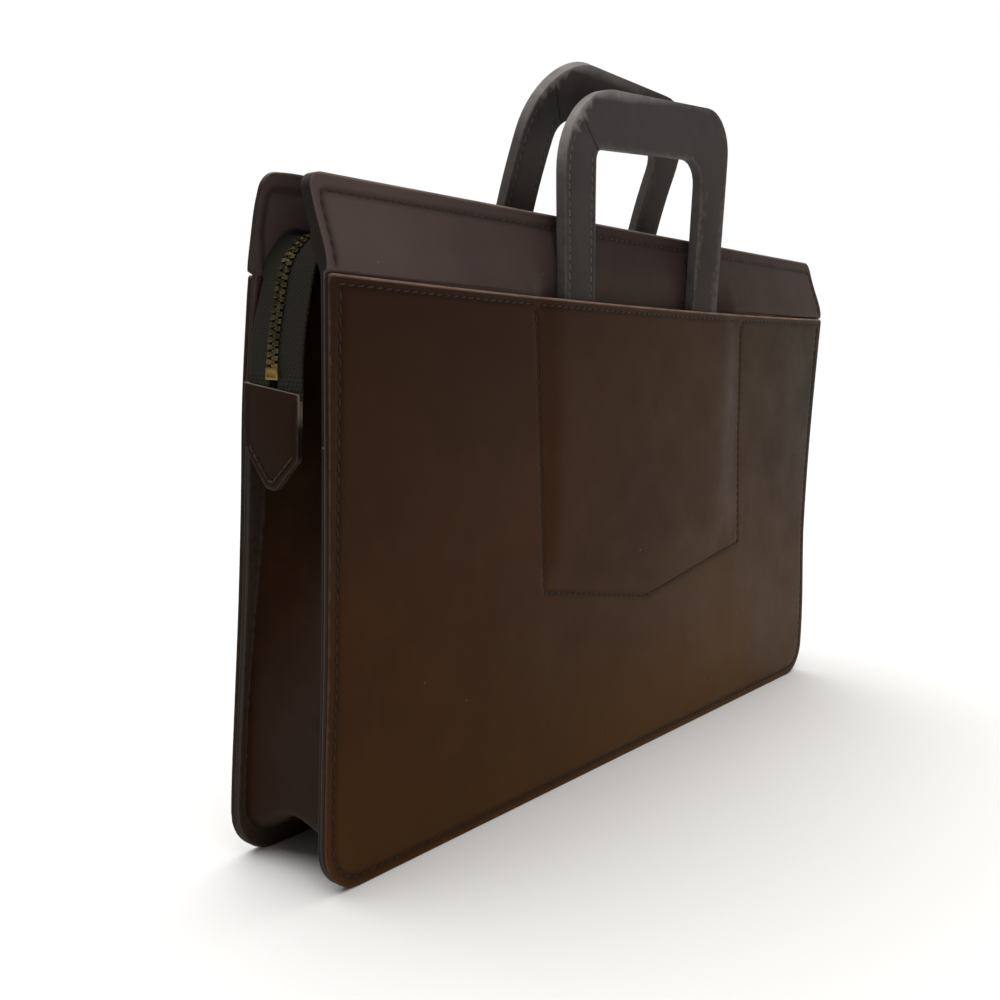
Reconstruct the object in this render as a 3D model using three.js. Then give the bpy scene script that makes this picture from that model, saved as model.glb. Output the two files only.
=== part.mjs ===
// A leather document case with a zip top and two stiff handles that slide down behind full-width
// outer pockets. Millimetres, +Z up, +X to the right seen from the front, -Y to the front. The
// origin is on the floor under the middle of the case.
import * as THREE from 'three';

// Case body
const CASE_WIDTH = 400;
const CASE_HEIGHT = 251;
const MOUTH_HEIGHT = 217.5;
const MOUTH_DIP = 2;
const CASE_DEPTH = 52.5;
const FRONT_PLANE = -28.5;
const BOTTOM_CORNER = 18;
const TOP_CORNER = 6;
const POCKET_WALL = 1.8;
const PANEL_WALL = 1.8;
const GUSSET_WALL = 1.4;
const SEWN_GAP = 0.3;
const FRONT_BOW = 2.8;

// Sliding handles: a closed D frame, whose foot bar stays behind the pocket
const HANDLE_WIDTH = 137;
const HANDLE_LENGTH = 135.5;
const HANDLE_THICKNESS = 4.5;
const LEG_WIDTH = 22.5;
const GRIP_HEIGHT = 25;
const FOOT_HEIGHT = 16;
const GRIP_CORNER = 35;
const FOOT_CORNER = 9;
const WINDOW_CORNER = 11;
const FRONT_HANDLE_X = 1;
const FRONT_HANDLE_FACE = 1;
const FRONT_EXPOSED = 89.7;
const BACK_HANDLE_X = 6.2;
const BACK_HANDLE_FACE = 48;
const BACK_EXPOSED = 106.8;
const LEAST_EXPOSED = 28.5;
const BOW_RADIUS = 340;
const BACK_LEAN = THREE.MathUtils.degToRad(7.3);
const BACK_YAW = THREE.MathUtils.degToRad(2);

// Handle channels, stitched between each pocket and its panel
const CHANNEL_LEFT = 87;
const CHANNEL_RIGHT = 90;
const CHANNEL_SKEW = 9;
const CHANNEL_CORNER_HEIGHT = 92;
const CHANNEL_POINT_DROP = 15;
const CHANNEL_CLEARANCE = 0.45;
const CHANNEL_SIDE_ROOM = 1.5;
const PILLOW = 1.1;
const STOP_DEPTH = 4.5;
const STOP_HEIGHT = 7.5;
const STOP_WIDTH = 64;

// Zip
const ZIP_HEIGHT = 231;
const ZIP_START = 182;
const ZIP_CENTRE = 24;
const ZIP_HANG_CENTRE = 26.8;
const CHAIN_WIDTH = 7.2;
const CHAIN_THICKNESS = 2.4;
const TAPE_THICKNESS = 1;
const TAPE_WIDTH = 29;
const TAPE_SEAM = 10;
const TAPE_RISE = 5;
const END_OUT = 2.4;
const END_DROP = 52;
const ZIP_STOP_HEIGHT = 4.1;
const ZIP_STOP_THICKNESS = 3.6;
const STOP_HEM = 1.5;
const TAB_WIDTH = 28.5;
const TAB_HEIGHT = 35;
const TAB_POINT = 11;
const TAB_TIP = 5;
const TAB_THICKNESS = 3.2;
const SLIDER_WIDTH = 9;
const SLIDER_LENGTH = 13;
const SLIDER_THICKNESS = 3.2;
const PULL_LENGTH = 26;
const PULL_THICKNESS = 1.5;

// Gusset, a strip folded inwards all round
const GUSSET_TOP = 217;
const GUSSET_EDGE = 1;
const FOLD_BOTTOM = 25.5;
const FOLD_SIDE_TOP = 17;
const FOLD_SIDE_LOW = 5;

const HALF_WIDTH = CASE_WIDTH / 2;
const { lerp, smoothstep } = THREE.MathUtils;

const LEATHER = new THREE.MeshStandardMaterial({ color: 0x38261d, roughness: 0.42, metalness: 0 });
const BAND_LEATHER = new THREE.MeshStandardMaterial({ color: 0x463733, roughness: 0.45, metalness: 0 });
const HANDLE_LEATHER = new THREE.MeshStandardMaterial({ color: 0x3a3534, roughness: 0.5, metalness: 0 });
const CLOTH = new THREE.MeshStandardMaterial({ color: 0x1d1c15, roughness: 0.9, metalness: 0 });
const BRASS = new THREE.MeshStandardMaterial({ color: 0x8a6a2c, roughness: 0.35, metalness: 1 });

// Depth of the back pocket's outer face, as shares of the case's depth, at shares of the mouth's
// height: at the ends of the case, and in the middle where the sliding handle fills the back out.
const BACK_PROFILE = [
  { height: 0, end: 1, middle: 1 },
  { height: 0.12, end: 0.994, middle: 1.002 },
  { height: 0.29, end: 0.95, middle: 0.998 },
  { height: 0.46, end: 0.903, middle: 0.983 },
  { height: 0.63, end: 0.872, middle: 1.01 },
  { height: 0.8, end: 0.853, middle: 1.029 },
  { height: 0.96, end: 0.8, middle: 1.002 },
  { height: 1, end: 0.781, middle: 0.99 },
];

// The bands above the pockets lean in over the zip. The height is a share of the band, and the
// depths are shares of the case's depth, measured from the pocket's outer face plane.
const FRONT_BAND = [
  { height: 0, end: 0.04, middle: 0.04 },
  { height: 0.26, end: 0.05, middle: 0.09 },
  { height: 0.5, end: 0.095, middle: 0.125 },
  { height: 0.68, end: 0.137, middle: 0.155 },
  { height: 0.86, end: 0.172, middle: 0.183 },
  { height: 1, end: 0.19, middle: 0.198 },
];
const BACK_BAND = [
  { height: 0, end: 0.741, middle: 0.95 },
  { height: 0.34, end: 0.742, middle: 0.895 },
  { height: 0.64, end: 0.722, middle: 0.829 },
  { height: 0.82, end: 0.682, middle: 0.781 },
  { height: 1, end: 0.642, middle: 0.733 },
];

// The free end of the zip, from where it leaves the case: how far out and down its middle line
// runs, as shares of its reach and its drop, and how far the tape has let go of the bands.
const ZIP_END = [
  { out: 0, down: 0, free: 0 },
  { out: 0.16, down: 0.003, free: 0.25 },
  { out: 0.34, down: 0.03, free: 0.6 },
  { out: 0.51, down: 0.09, free: 0.9 },
  { out: 0.665, down: 0.17, free: 1 },
  { out: 0.76, down: 0.26, free: 1 },
  { out: 0.82, down: 0.36, free: 1 },
  { out: 0.87, down: 0.46, free: 1 },
  { out: 0.92, down: 0.57, free: 1 },
  { out: 0.97, down: 0.7, free: 1 },
  { out: 1, down: 0.85, free: 1 },
  { out: 1, down: 1, free: 1 },
];

// Lines along the gusset from its front edge to its back edge. Across is the share of the way
// between the two panels, and the insets are shares of the fold at the bottom, low on the sides
// and at the top of the sides.
const GUSSET_LINES = [
  { across: 0, bottom: 0, low: 0, top: 0, corner: 0.94 },
  { across: 0, bottom: 0.66, low: 0.7, top: 0.4, corner: 0.5 },
  { across: 0.13, bottom: 0.8, low: 0.85, top: 0.75, corner: 0.4 },
  { across: 0.4, bottom: 1, low: 1, top: 1, corner: 0.3 },
  { across: 0.64, bottom: 0.74, low: 1, top: 1, corner: 0.4 },
  { across: 0.87, bottom: 0.44, low: 0.85, top: 0.75, corner: 0.6 },
  { across: 1, bottom: 0.32, low: 0.7, top: 0.4, corner: 0.7 },
  { across: 1, bottom: 0, low: 0, top: 0, corner: 0.94 },
];

const SEAT_EDGE = HANDLE_WIDTH / 2 + CHANNEL_SIDE_ROOM;
const CHANNEL_MIDDLE = (CHANNEL_RIGHT - CHANNEL_LEFT) / 2;
const FOOT_LOWEST = MOUTH_HEIGHT - (HANDLE_LENGTH - LEAST_EXPOSED) - CHANNEL_SIDE_ROOM;
const LAYERS = POCKET_WALL + SEWN_GAP;
const CHAIN_EDGE = CHAIN_WIDTH / 2 + SEWN_GAP;
const END_REACH = HALF_WIDTH + END_OUT - ZIP_START;

// Reads a profile table at a share of its height.
function profile(table, height, column) {
  const h = THREE.MathUtils.clamp(height, 0, 1);
  const k = Math.max(1, table.findIndex((row) => row.height >= h));
  const low = table[k - 1];
  const high = table[k];
  return lerp(low[column], high[column], (h - low.height) / (high.height - low.height));
}

// 1 in the middle of the width and 0 at the ends, as a soft panel fills out.
function belly(x) {
  return 1 - (x / HALF_WIDTH) ** 2;
}

// A line on one handle's slide path: u across, a along from the mouth, t out from its front face.
function placeFront(u, a, t) {
  return new THREE.Vector3(FRONT_HANDLE_X + u, FRONT_PLANE + FRONT_HANDLE_FACE + t, MOUTH_HEIGHT + a);
}

function placeBack(u, a, t) {
  const lean = BACK_LEAN + a / BOW_RADIUS;
  const out = (BOW_RADIUS + t) * Math.cos(lean) - BOW_RADIUS * Math.cos(BACK_LEAN);
  const up = (BOW_RADIUS + t) * Math.sin(lean) - BOW_RADIUS * Math.sin(BACK_LEAN);
  return new THREE.Vector3(
    BACK_HANDLE_X + u * Math.cos(BACK_YAW) - out * Math.sin(BACK_YAW),
    FRONT_PLANE + BACK_HANDLE_FACE + u * Math.sin(BACK_YAW) + out * Math.cos(BACK_YAW),
    MOUTH_HEIGHT + up,
  );
}

// Depth of the back handle's path at a place on the case, t out from the handle's front face.
function backPath(x, z, t) {
  const up = z - MOUTH_HEIGHT + BOW_RADIUS * Math.sin(BACK_LEAN);
  const out = Math.sqrt((BOW_RADIUS + t) ** 2 - up ** 2) - BOW_RADIUS * Math.cos(BACK_LEAN);
  const across = (x - BACK_HANDLE_X) * Math.tan(BACK_YAW);
  return FRONT_PLANE + BACK_HANDLE_FACE + across + out / Math.cos(BACK_YAW);
}

// The left and right stitch lines of a channel at a height. They slant to one side going down.
function channelLines(z, centre) {
  const down = THREE.MathUtils.clamp(1 - z / MOUTH_HEIGHT, 0, 1) * CHANNEL_SKEW;
  const shift = down - CHANNEL_SKEW / 4;
  return {
    left: Math.min(-CHANNEL_LEFT + shift, centre - SEAT_EDGE - CHANNEL_SKEW / 2),
    right: Math.max(CHANNEL_RIGHT + shift, centre + SEAT_EDGE + CHANNEL_SKEW / 2),
  };
}

// 1 where the handle slides, 0 outside the channel, with soft flanks between.
function across(x, z, centre) {
  const lines = channelLines(z, centre);
  const left = smoothstep(x, lines.left, centre - SEAT_EDGE);
  const right = 1 - smoothstep(x, centre + SEAT_EDGE, lines.right);
  return Math.min(left, right);
}

function above(x, z) {
  const side = Math.min(1, Math.abs(x - CHANNEL_MIDDLE) / CHANNEL_RIGHT);
  const line = CHANNEL_CORNER_HEIGHT - CHANNEL_POINT_DROP * (1 - side);
  return smoothstep(z, line, FOOT_LOWEST);
}

function pillow(z) {
  const h = (z - CHANNEL_CORNER_HEIGHT) / (MOUTH_HEIGHT - CHANNEL_CORNER_HEIGHT);
  return PILLOW * Math.sin(Math.PI * THREE.MathUtils.clamp(h, 0, 1));
}

// Front faces: the plain pocket face, then pocket and panel with the channel between them.
function frontBase(x, z) {
  const rise = Math.sin(Math.PI * THREE.MathUtils.clamp(z / MOUTH_HEIGHT, 0, 1));
  const side = lerp(-0.43, 1, (x / CASE_WIDTH + 0.5) ** 2);
  return FRONT_PLANE + FRONT_BOW * side * rise * smoothstep(z, BOTTOM_CORNER, CHANNEL_CORNER_HEIGHT);
}

function frontPocketOuter(x, z) {
  const seat = FRONT_PLANE + FRONT_HANDLE_FACE - CHANNEL_CLEARANCE - POCKET_WALL - pillow(z);
  return lerp(frontBase(x, z), seat, across(x, z, FRONT_HANDLE_X) * above(x, z));
}

function frontPanelOuter(x, z) {
  const seat = FRONT_PLANE + FRONT_HANDLE_FACE + HANDLE_THICKNESS + CHANNEL_CLEARANCE;
  const share = across(x, z, FRONT_HANDLE_X);
  if (z <= MOUTH_HEIGHT) {
    return lerp(frontBase(x, z) + LAYERS, seat, share * above(x, z));
  }
  const h = (z - MOUTH_HEIGHT) / (CASE_HEIGHT - MOUTH_HEIGHT);
  const depth = lerp(profile(FRONT_BAND, h, 'end'), profile(FRONT_BAND, h, 'middle'), belly(x));
  const band = FRONT_PLANE + Math.max(LAYERS, depth * CASE_DEPTH);
  return lerp(band, Math.max(band, seat), share);
}

function frontInner(x, z) {
  return frontPanelOuter(x, z) + PANEL_WALL;
}

// Back faces, the same from behind.
function backBase(x, z) {
  const h = z / MOUTH_HEIGHT;
  const depth = lerp(profile(BACK_PROFILE, h, 'end'), profile(BACK_PROFILE, h, 'middle'), belly(x));
  const turn = x * Math.tan(BACK_YAW) * belly(x) * smoothstep(h, 0.1, 0.6);
  return FRONT_PLANE + depth * CASE_DEPTH + turn;
}

function backPocketOuter(x, z) {
  const seat = backPath(x, z, HANDLE_THICKNESS + CHANNEL_CLEARANCE + POCKET_WALL) + pillow(z) / 2;
  return lerp(backBase(x, z), seat, across(x, z, BACK_HANDLE_X) * above(x, z));
}

function backPanelOuter(x, z) {
  const seat = backPath(x, z, -CHANNEL_CLEARANCE);
  const share = across(x, z, BACK_HANDLE_X);
  if (z <= MOUTH_HEIGHT) {
    return lerp(backBase(x, z) - LAYERS, seat, share * above(x, z));
  }
  const h = (z - MOUTH_HEIGHT) / (CASE_HEIGHT - MOUTH_HEIGHT);
  const mouth = backBase(x, MOUTH_HEIGHT) - LAYERS;
  const depth = lerp(profile(BACK_BAND, h, 'end'), profile(BACK_BAND, h, 'middle'), belly(x));
  const band = Math.min(mouth, FRONT_PLANE + depth * CASE_DEPTH);
  return lerp(band, Math.min(band, seat), share);
}

function backInner(x, z) {
  return backPanelOuter(x, z) - PANEL_WALL;
}

// A closed mesh from points and faces of three or four points, turned so that it faces outwards.
function solid(points, faces) {
  const triangles = [];
  for (const [a, b, c, d] of faces) {
    triangles.push([a, b, c]);
    if (d !== undefined) {
      triangles.push([a, c, d]);
    }
  }
  const volume = triangles.reduce((sum, [a, b, c]) => (
    sum + points[a].dot(points[b].clone().cross(points[c]))
  ), 0);
  const order = volume > 0 ? triangles : triangles.map(([a, b, c]) => [a, c, b]);
  const geometry = new THREE.BufferGeometry();
  const places = points.flatMap((p) => p.toArray());
  geometry.setAttribute('position', new THREE.Float32BufferAttribute(places, 3));
  geometry.setIndex(order.flat());
  const flat = geometry.toNonIndexed();
  flat.computeVertexNormals();
  return flat;
}

// A wall between two grids of points with the same rows and columns, closed round its rim.
function wall(faceA, faceB) {
  const rows = faceA.length;
  const columns = faceA[0].length;
  const m = rows - 1;
  const n = columns - 1;
  const points = [...faceA.flat(), ...faceB.flat()];
  const at = (side, i, j) => side * rows * columns + i * columns + j;
  const faces = [];
  for (let i = 0; i + 1 < rows; i += 1) {
    for (let j = 0; j + 1 < columns; j += 1) {
      faces.push([at(0, i, j), at(0, i, j + 1), at(0, i + 1, j + 1), at(0, i + 1, j)]);
      faces.push([at(1, i, j), at(1, i + 1, j), at(1, i + 1, j + 1), at(1, i, j + 1)]);
    }
  }
  for (let j = 0; j + 1 < columns; j += 1) {
    faces.push([at(0, 0, j + 1), at(0, 0, j), at(1, 0, j), at(1, 0, j + 1)]);
    faces.push([at(0, m, j), at(0, m, j + 1), at(1, m, j + 1), at(1, m, j)]);
  }
  for (let i = 0; i + 1 < rows; i += 1) {
    faces.push([at(0, i, 0), at(0, i + 1, 0), at(1, i + 1, 0), at(1, i, 0)]);
    faces.push([at(0, i + 1, n), at(0, i, n), at(1, i, n), at(1, i + 1, n)]);
  }
  return solid(points, faces);
}

const SHARPEST_TURN = 0.6;

// Offsets a grid of points along its own normals, so a bent strip keeps its thickness.
function offsetGrid(grid, thickness) {
  const cell = (i, j) => {
    const a = grid[i][j];
    const u = grid[i][j + 1].clone().sub(a);
    const v = grid[i + 1][j].clone().sub(a);
    return u.cross(v).normalize();
  };
  const rows = grid.length;
  const columns = grid[0].length;
  return grid.map((row, i) => row.map((point, j) => {
    const normals = [];
    for (const k of [i - 1, i]) {
      for (const m of [j - 1, j]) {
        if (k >= 0 && m >= 0 && k + 1 < rows && m + 1 < columns) {
          normals.push(cell(k, m));
        }
      }
    }
    const mean = normals.reduce((sum, n) => sum.add(n), new THREE.Vector3()).normalize();
    const turn = Math.min(...normals.map((n) => n.dot(mean)));
    const reach = thickness / Math.max(SHARPEST_TURN, turn);
    return point.clone().addScaledVector(mean, reach);
  }));
}

// Half the width of a panel at a height, with its rounded corners.
function halfWidth(z, top) {
  const low = Math.max(0, BOTTOM_CORNER - z);
  const high = Math.max(0, z - (top - TOP_CORNER));
  const bottomCut = BOTTOM_CORNER - Math.sqrt(BOTTOM_CORNER ** 2 - low ** 2);
  const topCut = TOP_CORNER - Math.sqrt(TOP_CORNER ** 2 - high ** 2);
  return HALF_WIDTH - bottomCut - topCut;
}

const FIELD = [0, 0.1, 0.32, 0.6, 0.84, 1];
const FLANK = [0.36, 0.68, 1];
const SEAT = [0.25, 0.5, 0.75, 1];

// The places of a panel's upright grid lines at a height, gathered round the channel.
function gridLines(z, centre, top) {
  const half = halfWidth(z, top);
  const scale = half / HALF_WIDTH;
  const lines = channelLines(z, centre);
  const seatLeft = centre - SEAT_EDGE;
  const seatRight = centre + SEAT_EDGE;
  const left = FIELD.map((s) => lerp(-HALF_WIDTH, lines.left, s));
  const leftFlank = FLANK.map((s) => lerp(lines.left, seatLeft, s));
  const seat = SEAT.map((s) => lerp(seatLeft, seatRight, s));
  const rightFlank = FLANK.map((s) => lerp(lines.right, seatRight, s)).reverse().slice(1);
  const right = FIELD.map((s) => lerp(HALF_WIDTH, lines.right, s)).reverse();
  return [...left, ...leftFlank, ...seat, ...rightFlank, ...right].map((x) => x * scale);
}

const CORNER_STEPS = 4;
const CORNER_ROWS = Array.from({ length: CORNER_STEPS + 1 }, (_, i) => (
  BOTTOM_CORNER * (1 - Math.cos((i / CORNER_STEPS) * (Math.PI / 2)))
));
const FACE_ROWS = [0.2, 0.355, 0.425, 0.5, 0.57, 0.65, 0.73, 0.81, 0.89, 0.95, 1];
const BAND_ROWS = [0.16, 0.34, 0.5, 0.68, 0.84, 1];
const TOP_ROWS = [0.66, 0.99];

// A sheet of leather whose outer face is a depth over the case's front view.
function panel(outer, thickness, centre, heights, top, dip) {
  const faceOf = (offset) => heights.map((z) => gridLines(z, centre, top).map((x) => {
    const sag = dip * belly(x) * smoothstep(z, CHANNEL_CORNER_HEIGHT, top);
    return new THREE.Vector3(x, outer(x, z) + offset, z - sag);
  }));
  return wall(faceOf(0), faceOf(thickness));
}

function pocket(outer, thickness, centre) {
  const heights = [...CORNER_ROWS, ...FACE_ROWS.map((s) => s * MOUTH_HEIGHT)];
  return panel(outer, thickness, centre, heights, MOUTH_HEIGHT + TOP_CORNER, MOUTH_DIP);
}

function bodyPanel(outer, thickness, centre) {
  const band = BAND_ROWS.map((s) => lerp(MOUTH_HEIGHT, CASE_HEIGHT - TOP_CORNER, s));
  const edge = TOP_ROWS.map((s) => CASE_HEIGHT - TOP_CORNER + TOP_CORNER * s);
  const heights = [...CORNER_ROWS, ...FACE_ROWS.map((s) => s * MOUTH_HEIGHT), ...band, ...edge];
  return panel(outer, thickness, centre, heights, CASE_HEIGHT, 0);
}

// The D frame of a handle: matching points on its outer edge and round its window.
function handleOutline() {
  const half = HANDLE_WIDTH / 2;
  const open = half - LEG_WIDTH;
  const windowTop = HANDLE_LENGTH - GRIP_HEIGHT;
  const corners = [
    { u: 1, s: 1, from: 0, outer: GRIP_CORNER },
    { u: -1, s: 1, from: 90, outer: GRIP_CORNER },
    { u: -1, s: 0, from: 180, outer: FOOT_CORNER },
    { u: 1, s: 0, from: 270, outer: FOOT_CORNER },
  ];
  const steps = 5;
  const ring = [];
  for (const { u, s, from, outer } of corners) {
    for (let k = 0; k <= steps; k += 1) {
      const angle = THREE.MathUtils.degToRad(from + (90 * k) / steps);
      const edgeS = s === 1 ? HANDLE_LENGTH - outer : outer;
      const openS = s === 1 ? windowTop - WINDOW_CORNER : FOOT_HEIGHT + WINDOW_CORNER;
      ring.push({
        outer: [u * (half - outer) + outer * Math.cos(angle), edgeS + outer * Math.sin(angle)],
        inner: [u * (open - WINDOW_CORNER) + WINDOW_CORNER * Math.cos(angle),
          openS + WINDOW_CORNER * Math.sin(angle)],
      });
    }
  }
  return ring;
}

// Adds points along each leg, so that a bowed handle bends along its whole length.
function refineLegs(ring, pieces) {
  const fine = [];
  ring.forEach((station, k) => {
    const next = ring[(k + 1) % ring.length];
    const long = Math.abs(next.outer[1] - station.outer[1]) > HANDLE_LENGTH / 3;
    const count = long ? pieces : 1;
    for (let m = 0; m < count; m += 1) {
      const share = m / count;
      fine.push({
        outer: station.outer.map((v, axis) => lerp(v, next.outer[axis], share)),
        inner: station.inner.map((v, axis) => lerp(v, next.inner[axis], share)),
      });
    }
  });
  return fine;
}

function handle(place, exposed) {
  const ring = refineLegs(handleOutline(), 6);
  const points = [];
  for (const { outer, inner } of ring) {
    for (const t of [0, HANDLE_THICKNESS]) {
      points.push(place(outer[0], exposed - HANDLE_LENGTH + outer[1], t));
      points.push(place(inner[0], exposed - HANDLE_LENGTH + inner[1], t));
    }
  }
  const faces = [];
  ring.forEach((_, k) => {
    const a = 4 * k;
    const b = 4 * ((k + 1) % ring.length);
    faces.push([a, b, b + 1, a + 1]);
    faces.push([a + 2, a + 3, b + 3, b + 2]);
    faces.push([a, a + 2, b + 2, b]);
    faces.push([a + 1, b + 1, b + 3, a + 3]);
  });
  return solid(points, faces);
}

// The block sewn inside the mouth, in the handle's window, that the foot bar stops against.
function handleStop(place) {
  const columns = [-1, 1].map((s) => (s * STOP_WIDTH) / 2);
  const rows = [-STOP_DEPTH - STOP_HEIGHT, -STOP_DEPTH];
  const faceOf = (t) => rows.map((a) => columns.map((u) => place(u, a, t)));
  return wall(faceOf(0), faceOf(HANDLE_THICKNESS));
}

// One line along the gusset: down the left side, round the corner, along the bottom and up.
function gussetLine(line) {
  const sideAt = (z) => {
    const share = smoothstep(z, MOUTH_HEIGHT * 0.25, MOUTH_HEIGHT * 0.8);
    return GUSSET_EDGE + lerp(line.low * FOLD_SIDE_LOW, line.top * FOLD_SIDE_TOP, share);
  };
  const bottom = GUSSET_EDGE + line.bottom * FOLD_BOTTOM;
  const low = sideAt(0);
  const radius = line.corner * BOTTOM_CORNER;
  const left = [];
  const sideSteps = 7;
  for (let k = 0; k < sideSteps; k += 1) {
    const z = lerp(GUSSET_TOP, bottom + radius, k / sideSteps);
    left.push([-HALF_WIDTH + sideAt(z), z]);
  }
  for (let k = 0; k <= CORNER_STEPS; k += 1) {
    const angle = (k / CORNER_STEPS) * (Math.PI / 2);
    const x = -HALF_WIDTH + low + radius * (1 - Math.cos(angle));
    left.push([x, bottom + radius * (1 - Math.sin(angle))]);
  }
  const floorSteps = 3;
  const turn = left[left.length - 1][0];
  for (let k = 1; k < floorSteps; k += 1) {
    left.push([lerp(turn, 0, k / floorSteps), bottom]);
  }
  const right = left.map(([x, z]) => [-x, z]).reverse();
  return [...left, [0, bottom], ...right];
}

function gusset() {
  const paths = GUSSET_LINES.map((line) => gussetLine(line));
  const inside = paths[0].map((_, k) => GUSSET_LINES.map((line, m) => {
    const [x, z] = paths[m][k];
    const front = frontInner(x, z) + SEWN_GAP;
    const back = backInner(x, z) - SEWN_GAP;
    return new THREE.Vector3(x, lerp(front, back, line.across), z);
  }));
  return wall(inside, offsetGrid(inside, GUSSET_WALL));
}

// The middle line of the zip from one end to the other, with how free of the bands it is.
function zipLine(cut) {
  const end = ZIP_END.map(({ out, down, free }) => ({
    x: -ZIP_START - out * END_REACH,
    z: ZIP_HEIGHT - Math.min(down * END_DROP, END_DROP - cut),
    free,
  })).reverse();
  const run = [0.94, 0.8, 0.6, 0.4, 0.2, 0].map((s) => ({ x: -ZIP_START * s, z: ZIP_HEIGHT, free: 0 }));
  const half = [...end, ...run];
  const other = half.slice(0, -1).reverse().map(({ x, z, free }) => ({ x: -x, z, free }));
  return [...half, ...other];
}

// Adds the outward direction across the zip's path to each of its stations.
function withLift(line) {
  return line.map((station, k) => {
    const before = line[Math.max(0, k - 1)];
    const after = line[Math.min(line.length - 1, k + 1)];
    const run = new THREE.Vector2(after.x - before.x, after.z - before.z).normalize();
    const centre = FRONT_PLANE + lerp(ZIP_CENTRE, ZIP_HANG_CENTRE, station.free);
    return { ...station, lift: [-run.y, run.x], centre };
  });
}

function zipPoint(station, y, lift) {
  return new THREE.Vector3(station.x + station.lift[0] * lift, y, station.z + station.lift[1] * lift);
}

// One half of the tape. Sewn, it rises from the chain to the band; free, it lies flat.
function zipTape(side) {
  const flat = TAPE_WIDTH / 2;
  const middle = TAPE_THICKNESS / 2;
  const grid = withLift(zipLine(0)).map((station) => {
    const near = station.centre + side * CHAIN_EDGE;
    const bandAt = (rise) => {
      const z = ZIP_HEIGHT + rise;
      const x = THREE.MathUtils.clamp(station.x, -HALF_WIDTH, HALF_WIDTH);
      const inner = side < 0 ? frontInner(x, z) : backInner(x, z);
      return inner - side * SEWN_GAP;
    };
    const columns = [
      { sewnY: near, rise: 0, freeShare: 0 },
      { sewnY: lerp(near, bandAt(TAPE_RISE), 0.6), rise: TAPE_RISE * 0.15, freeShare: 0.35 },
      { sewnY: bandAt(TAPE_RISE), rise: TAPE_RISE, freeShare: 0.7 },
      { sewnY: bandAt(TAPE_RISE + TAPE_SEAM), rise: TAPE_RISE + TAPE_SEAM, freeShare: 1 },
    ];
    const between = Math.abs(station.x) < HALF_WIDTH + TAPE_THICKNESS;
    const toBand = Math.abs(bandAt(station.z - ZIP_HEIGHT) - station.centre);
    const room = toBand - GUSSET_WALL - TAPE_THICKNESS;
    const freeEdge = station.centre + side * (between ? Math.min(flat, room) : flat);
    return columns.map(({ sewnY, rise, freeShare }) => zipPoint(
      station,
      lerp(sewnY, lerp(near, freeEdge, freeShare), station.free),
      lerp(rise, 0, station.free) - middle,
    ));
  });
  const ordered = side < 0 ? grid.map((row) => [...row].reverse()) : grid;
  return wall(ordered, offsetGrid(ordered, -TAPE_THICKNESS));
}

function zipChain() {
  const stations = withLift(zipLine(STOP_HEM + ZIP_STOP_HEIGHT + SEWN_GAP));
  const faceOf = (lift) => stations.map((station) => [-1, 1].map((s) => (
    zipPoint(station, station.centre + (s * CHAIN_WIDTH) / 2, lift)
  )));
  return wall(faceOf(-CHAIN_THICKNESS / 2), faceOf(CHAIN_THICKNESS / 2));
}

function block(x, y, z, place) {
  const geometry = new THREE.BoxGeometry(x, y, z);
  geometry.translate(...place);
  return geometry;
}

const HANG_X = HALF_WIDTH + END_OUT;
const HANG_Y = FRONT_PLANE + ZIP_HANG_CENTRE;
const TAPE_END = ZIP_HEIGHT - END_DROP;

function zipStop() {
  const middle = TAPE_END + STOP_HEM + ZIP_STOP_HEIGHT / 2;
  return block(ZIP_STOP_THICKNESS, CHAIN_WIDTH, ZIP_STOP_HEIGHT, [-HANG_X, HANG_Y, middle]);
}

// The leather end tab: straight sides and a blunt point, cut from a doubled strap.
function endTab(side) {
  const half = TAB_WIDTH / 2;
  const shape = new THREE.Shape();
  shape.moveTo(-half, 0);
  shape.lineTo(-half, -(TAB_HEIGHT - TAB_POINT));
  shape.lineTo(-TAB_TIP / 2, -TAB_HEIGHT);
  shape.lineTo(TAB_TIP / 2, -TAB_HEIGHT);
  shape.lineTo(half, -(TAB_HEIGHT - TAB_POINT));
  shape.lineTo(half, 0);
  shape.closePath();
  const geometry = new THREE.ExtrudeGeometry(shape, { depth: TAB_THICKNESS, bevelEnabled: false });
  geometry.translate(0, 0, -TAB_THICKNESS / 2);
  geometry.rotateX(Math.PI / 2);
  geometry.rotateZ(Math.PI / 2);
  geometry.translate(side * HANG_X, HANG_Y, TAPE_END - SEWN_GAP);
  return geometry;
}

// The closed slider at the hidden end, with its pull hanging over the end tab.
function zipSlider() {
  const face = Math.max(CHAIN_THICKNESS, TAB_THICKNESS) / 2 + SEWN_GAP;
  const shape = new THREE.Shape();
  shape.moveTo(face, 0);
  shape.lineTo(face, SLIDER_LENGTH);
  shape.lineTo(face + SLIDER_THICKNESS, SLIDER_LENGTH);
  shape.lineTo(face + SLIDER_THICKNESS, SLIDER_LENGTH - PULL_LENGTH - PULL_THICKNESS);
  shape.lineTo(face + SLIDER_THICKNESS - PULL_THICKNESS, SLIDER_LENGTH - PULL_LENGTH - PULL_THICKNESS);
  shape.lineTo(face + SLIDER_THICKNESS - PULL_THICKNESS, 0);
  shape.closePath();
  const geometry = new THREE.ExtrudeGeometry(shape, { depth: SLIDER_WIDTH, bevelEnabled: false });
  geometry.translate(0, 0, -SLIDER_WIDTH / 2);
  geometry.rotateX(Math.PI / 2);
  geometry.translate(HANG_X, HANG_Y, TAPE_END + SEWN_GAP);
  return geometry;
}

const model = new THREE.Group();

function add(name, geometry, material) {
  const mesh = new THREE.Mesh(geometry, material);
  mesh.name = name;
  model.add(mesh);
}

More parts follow.
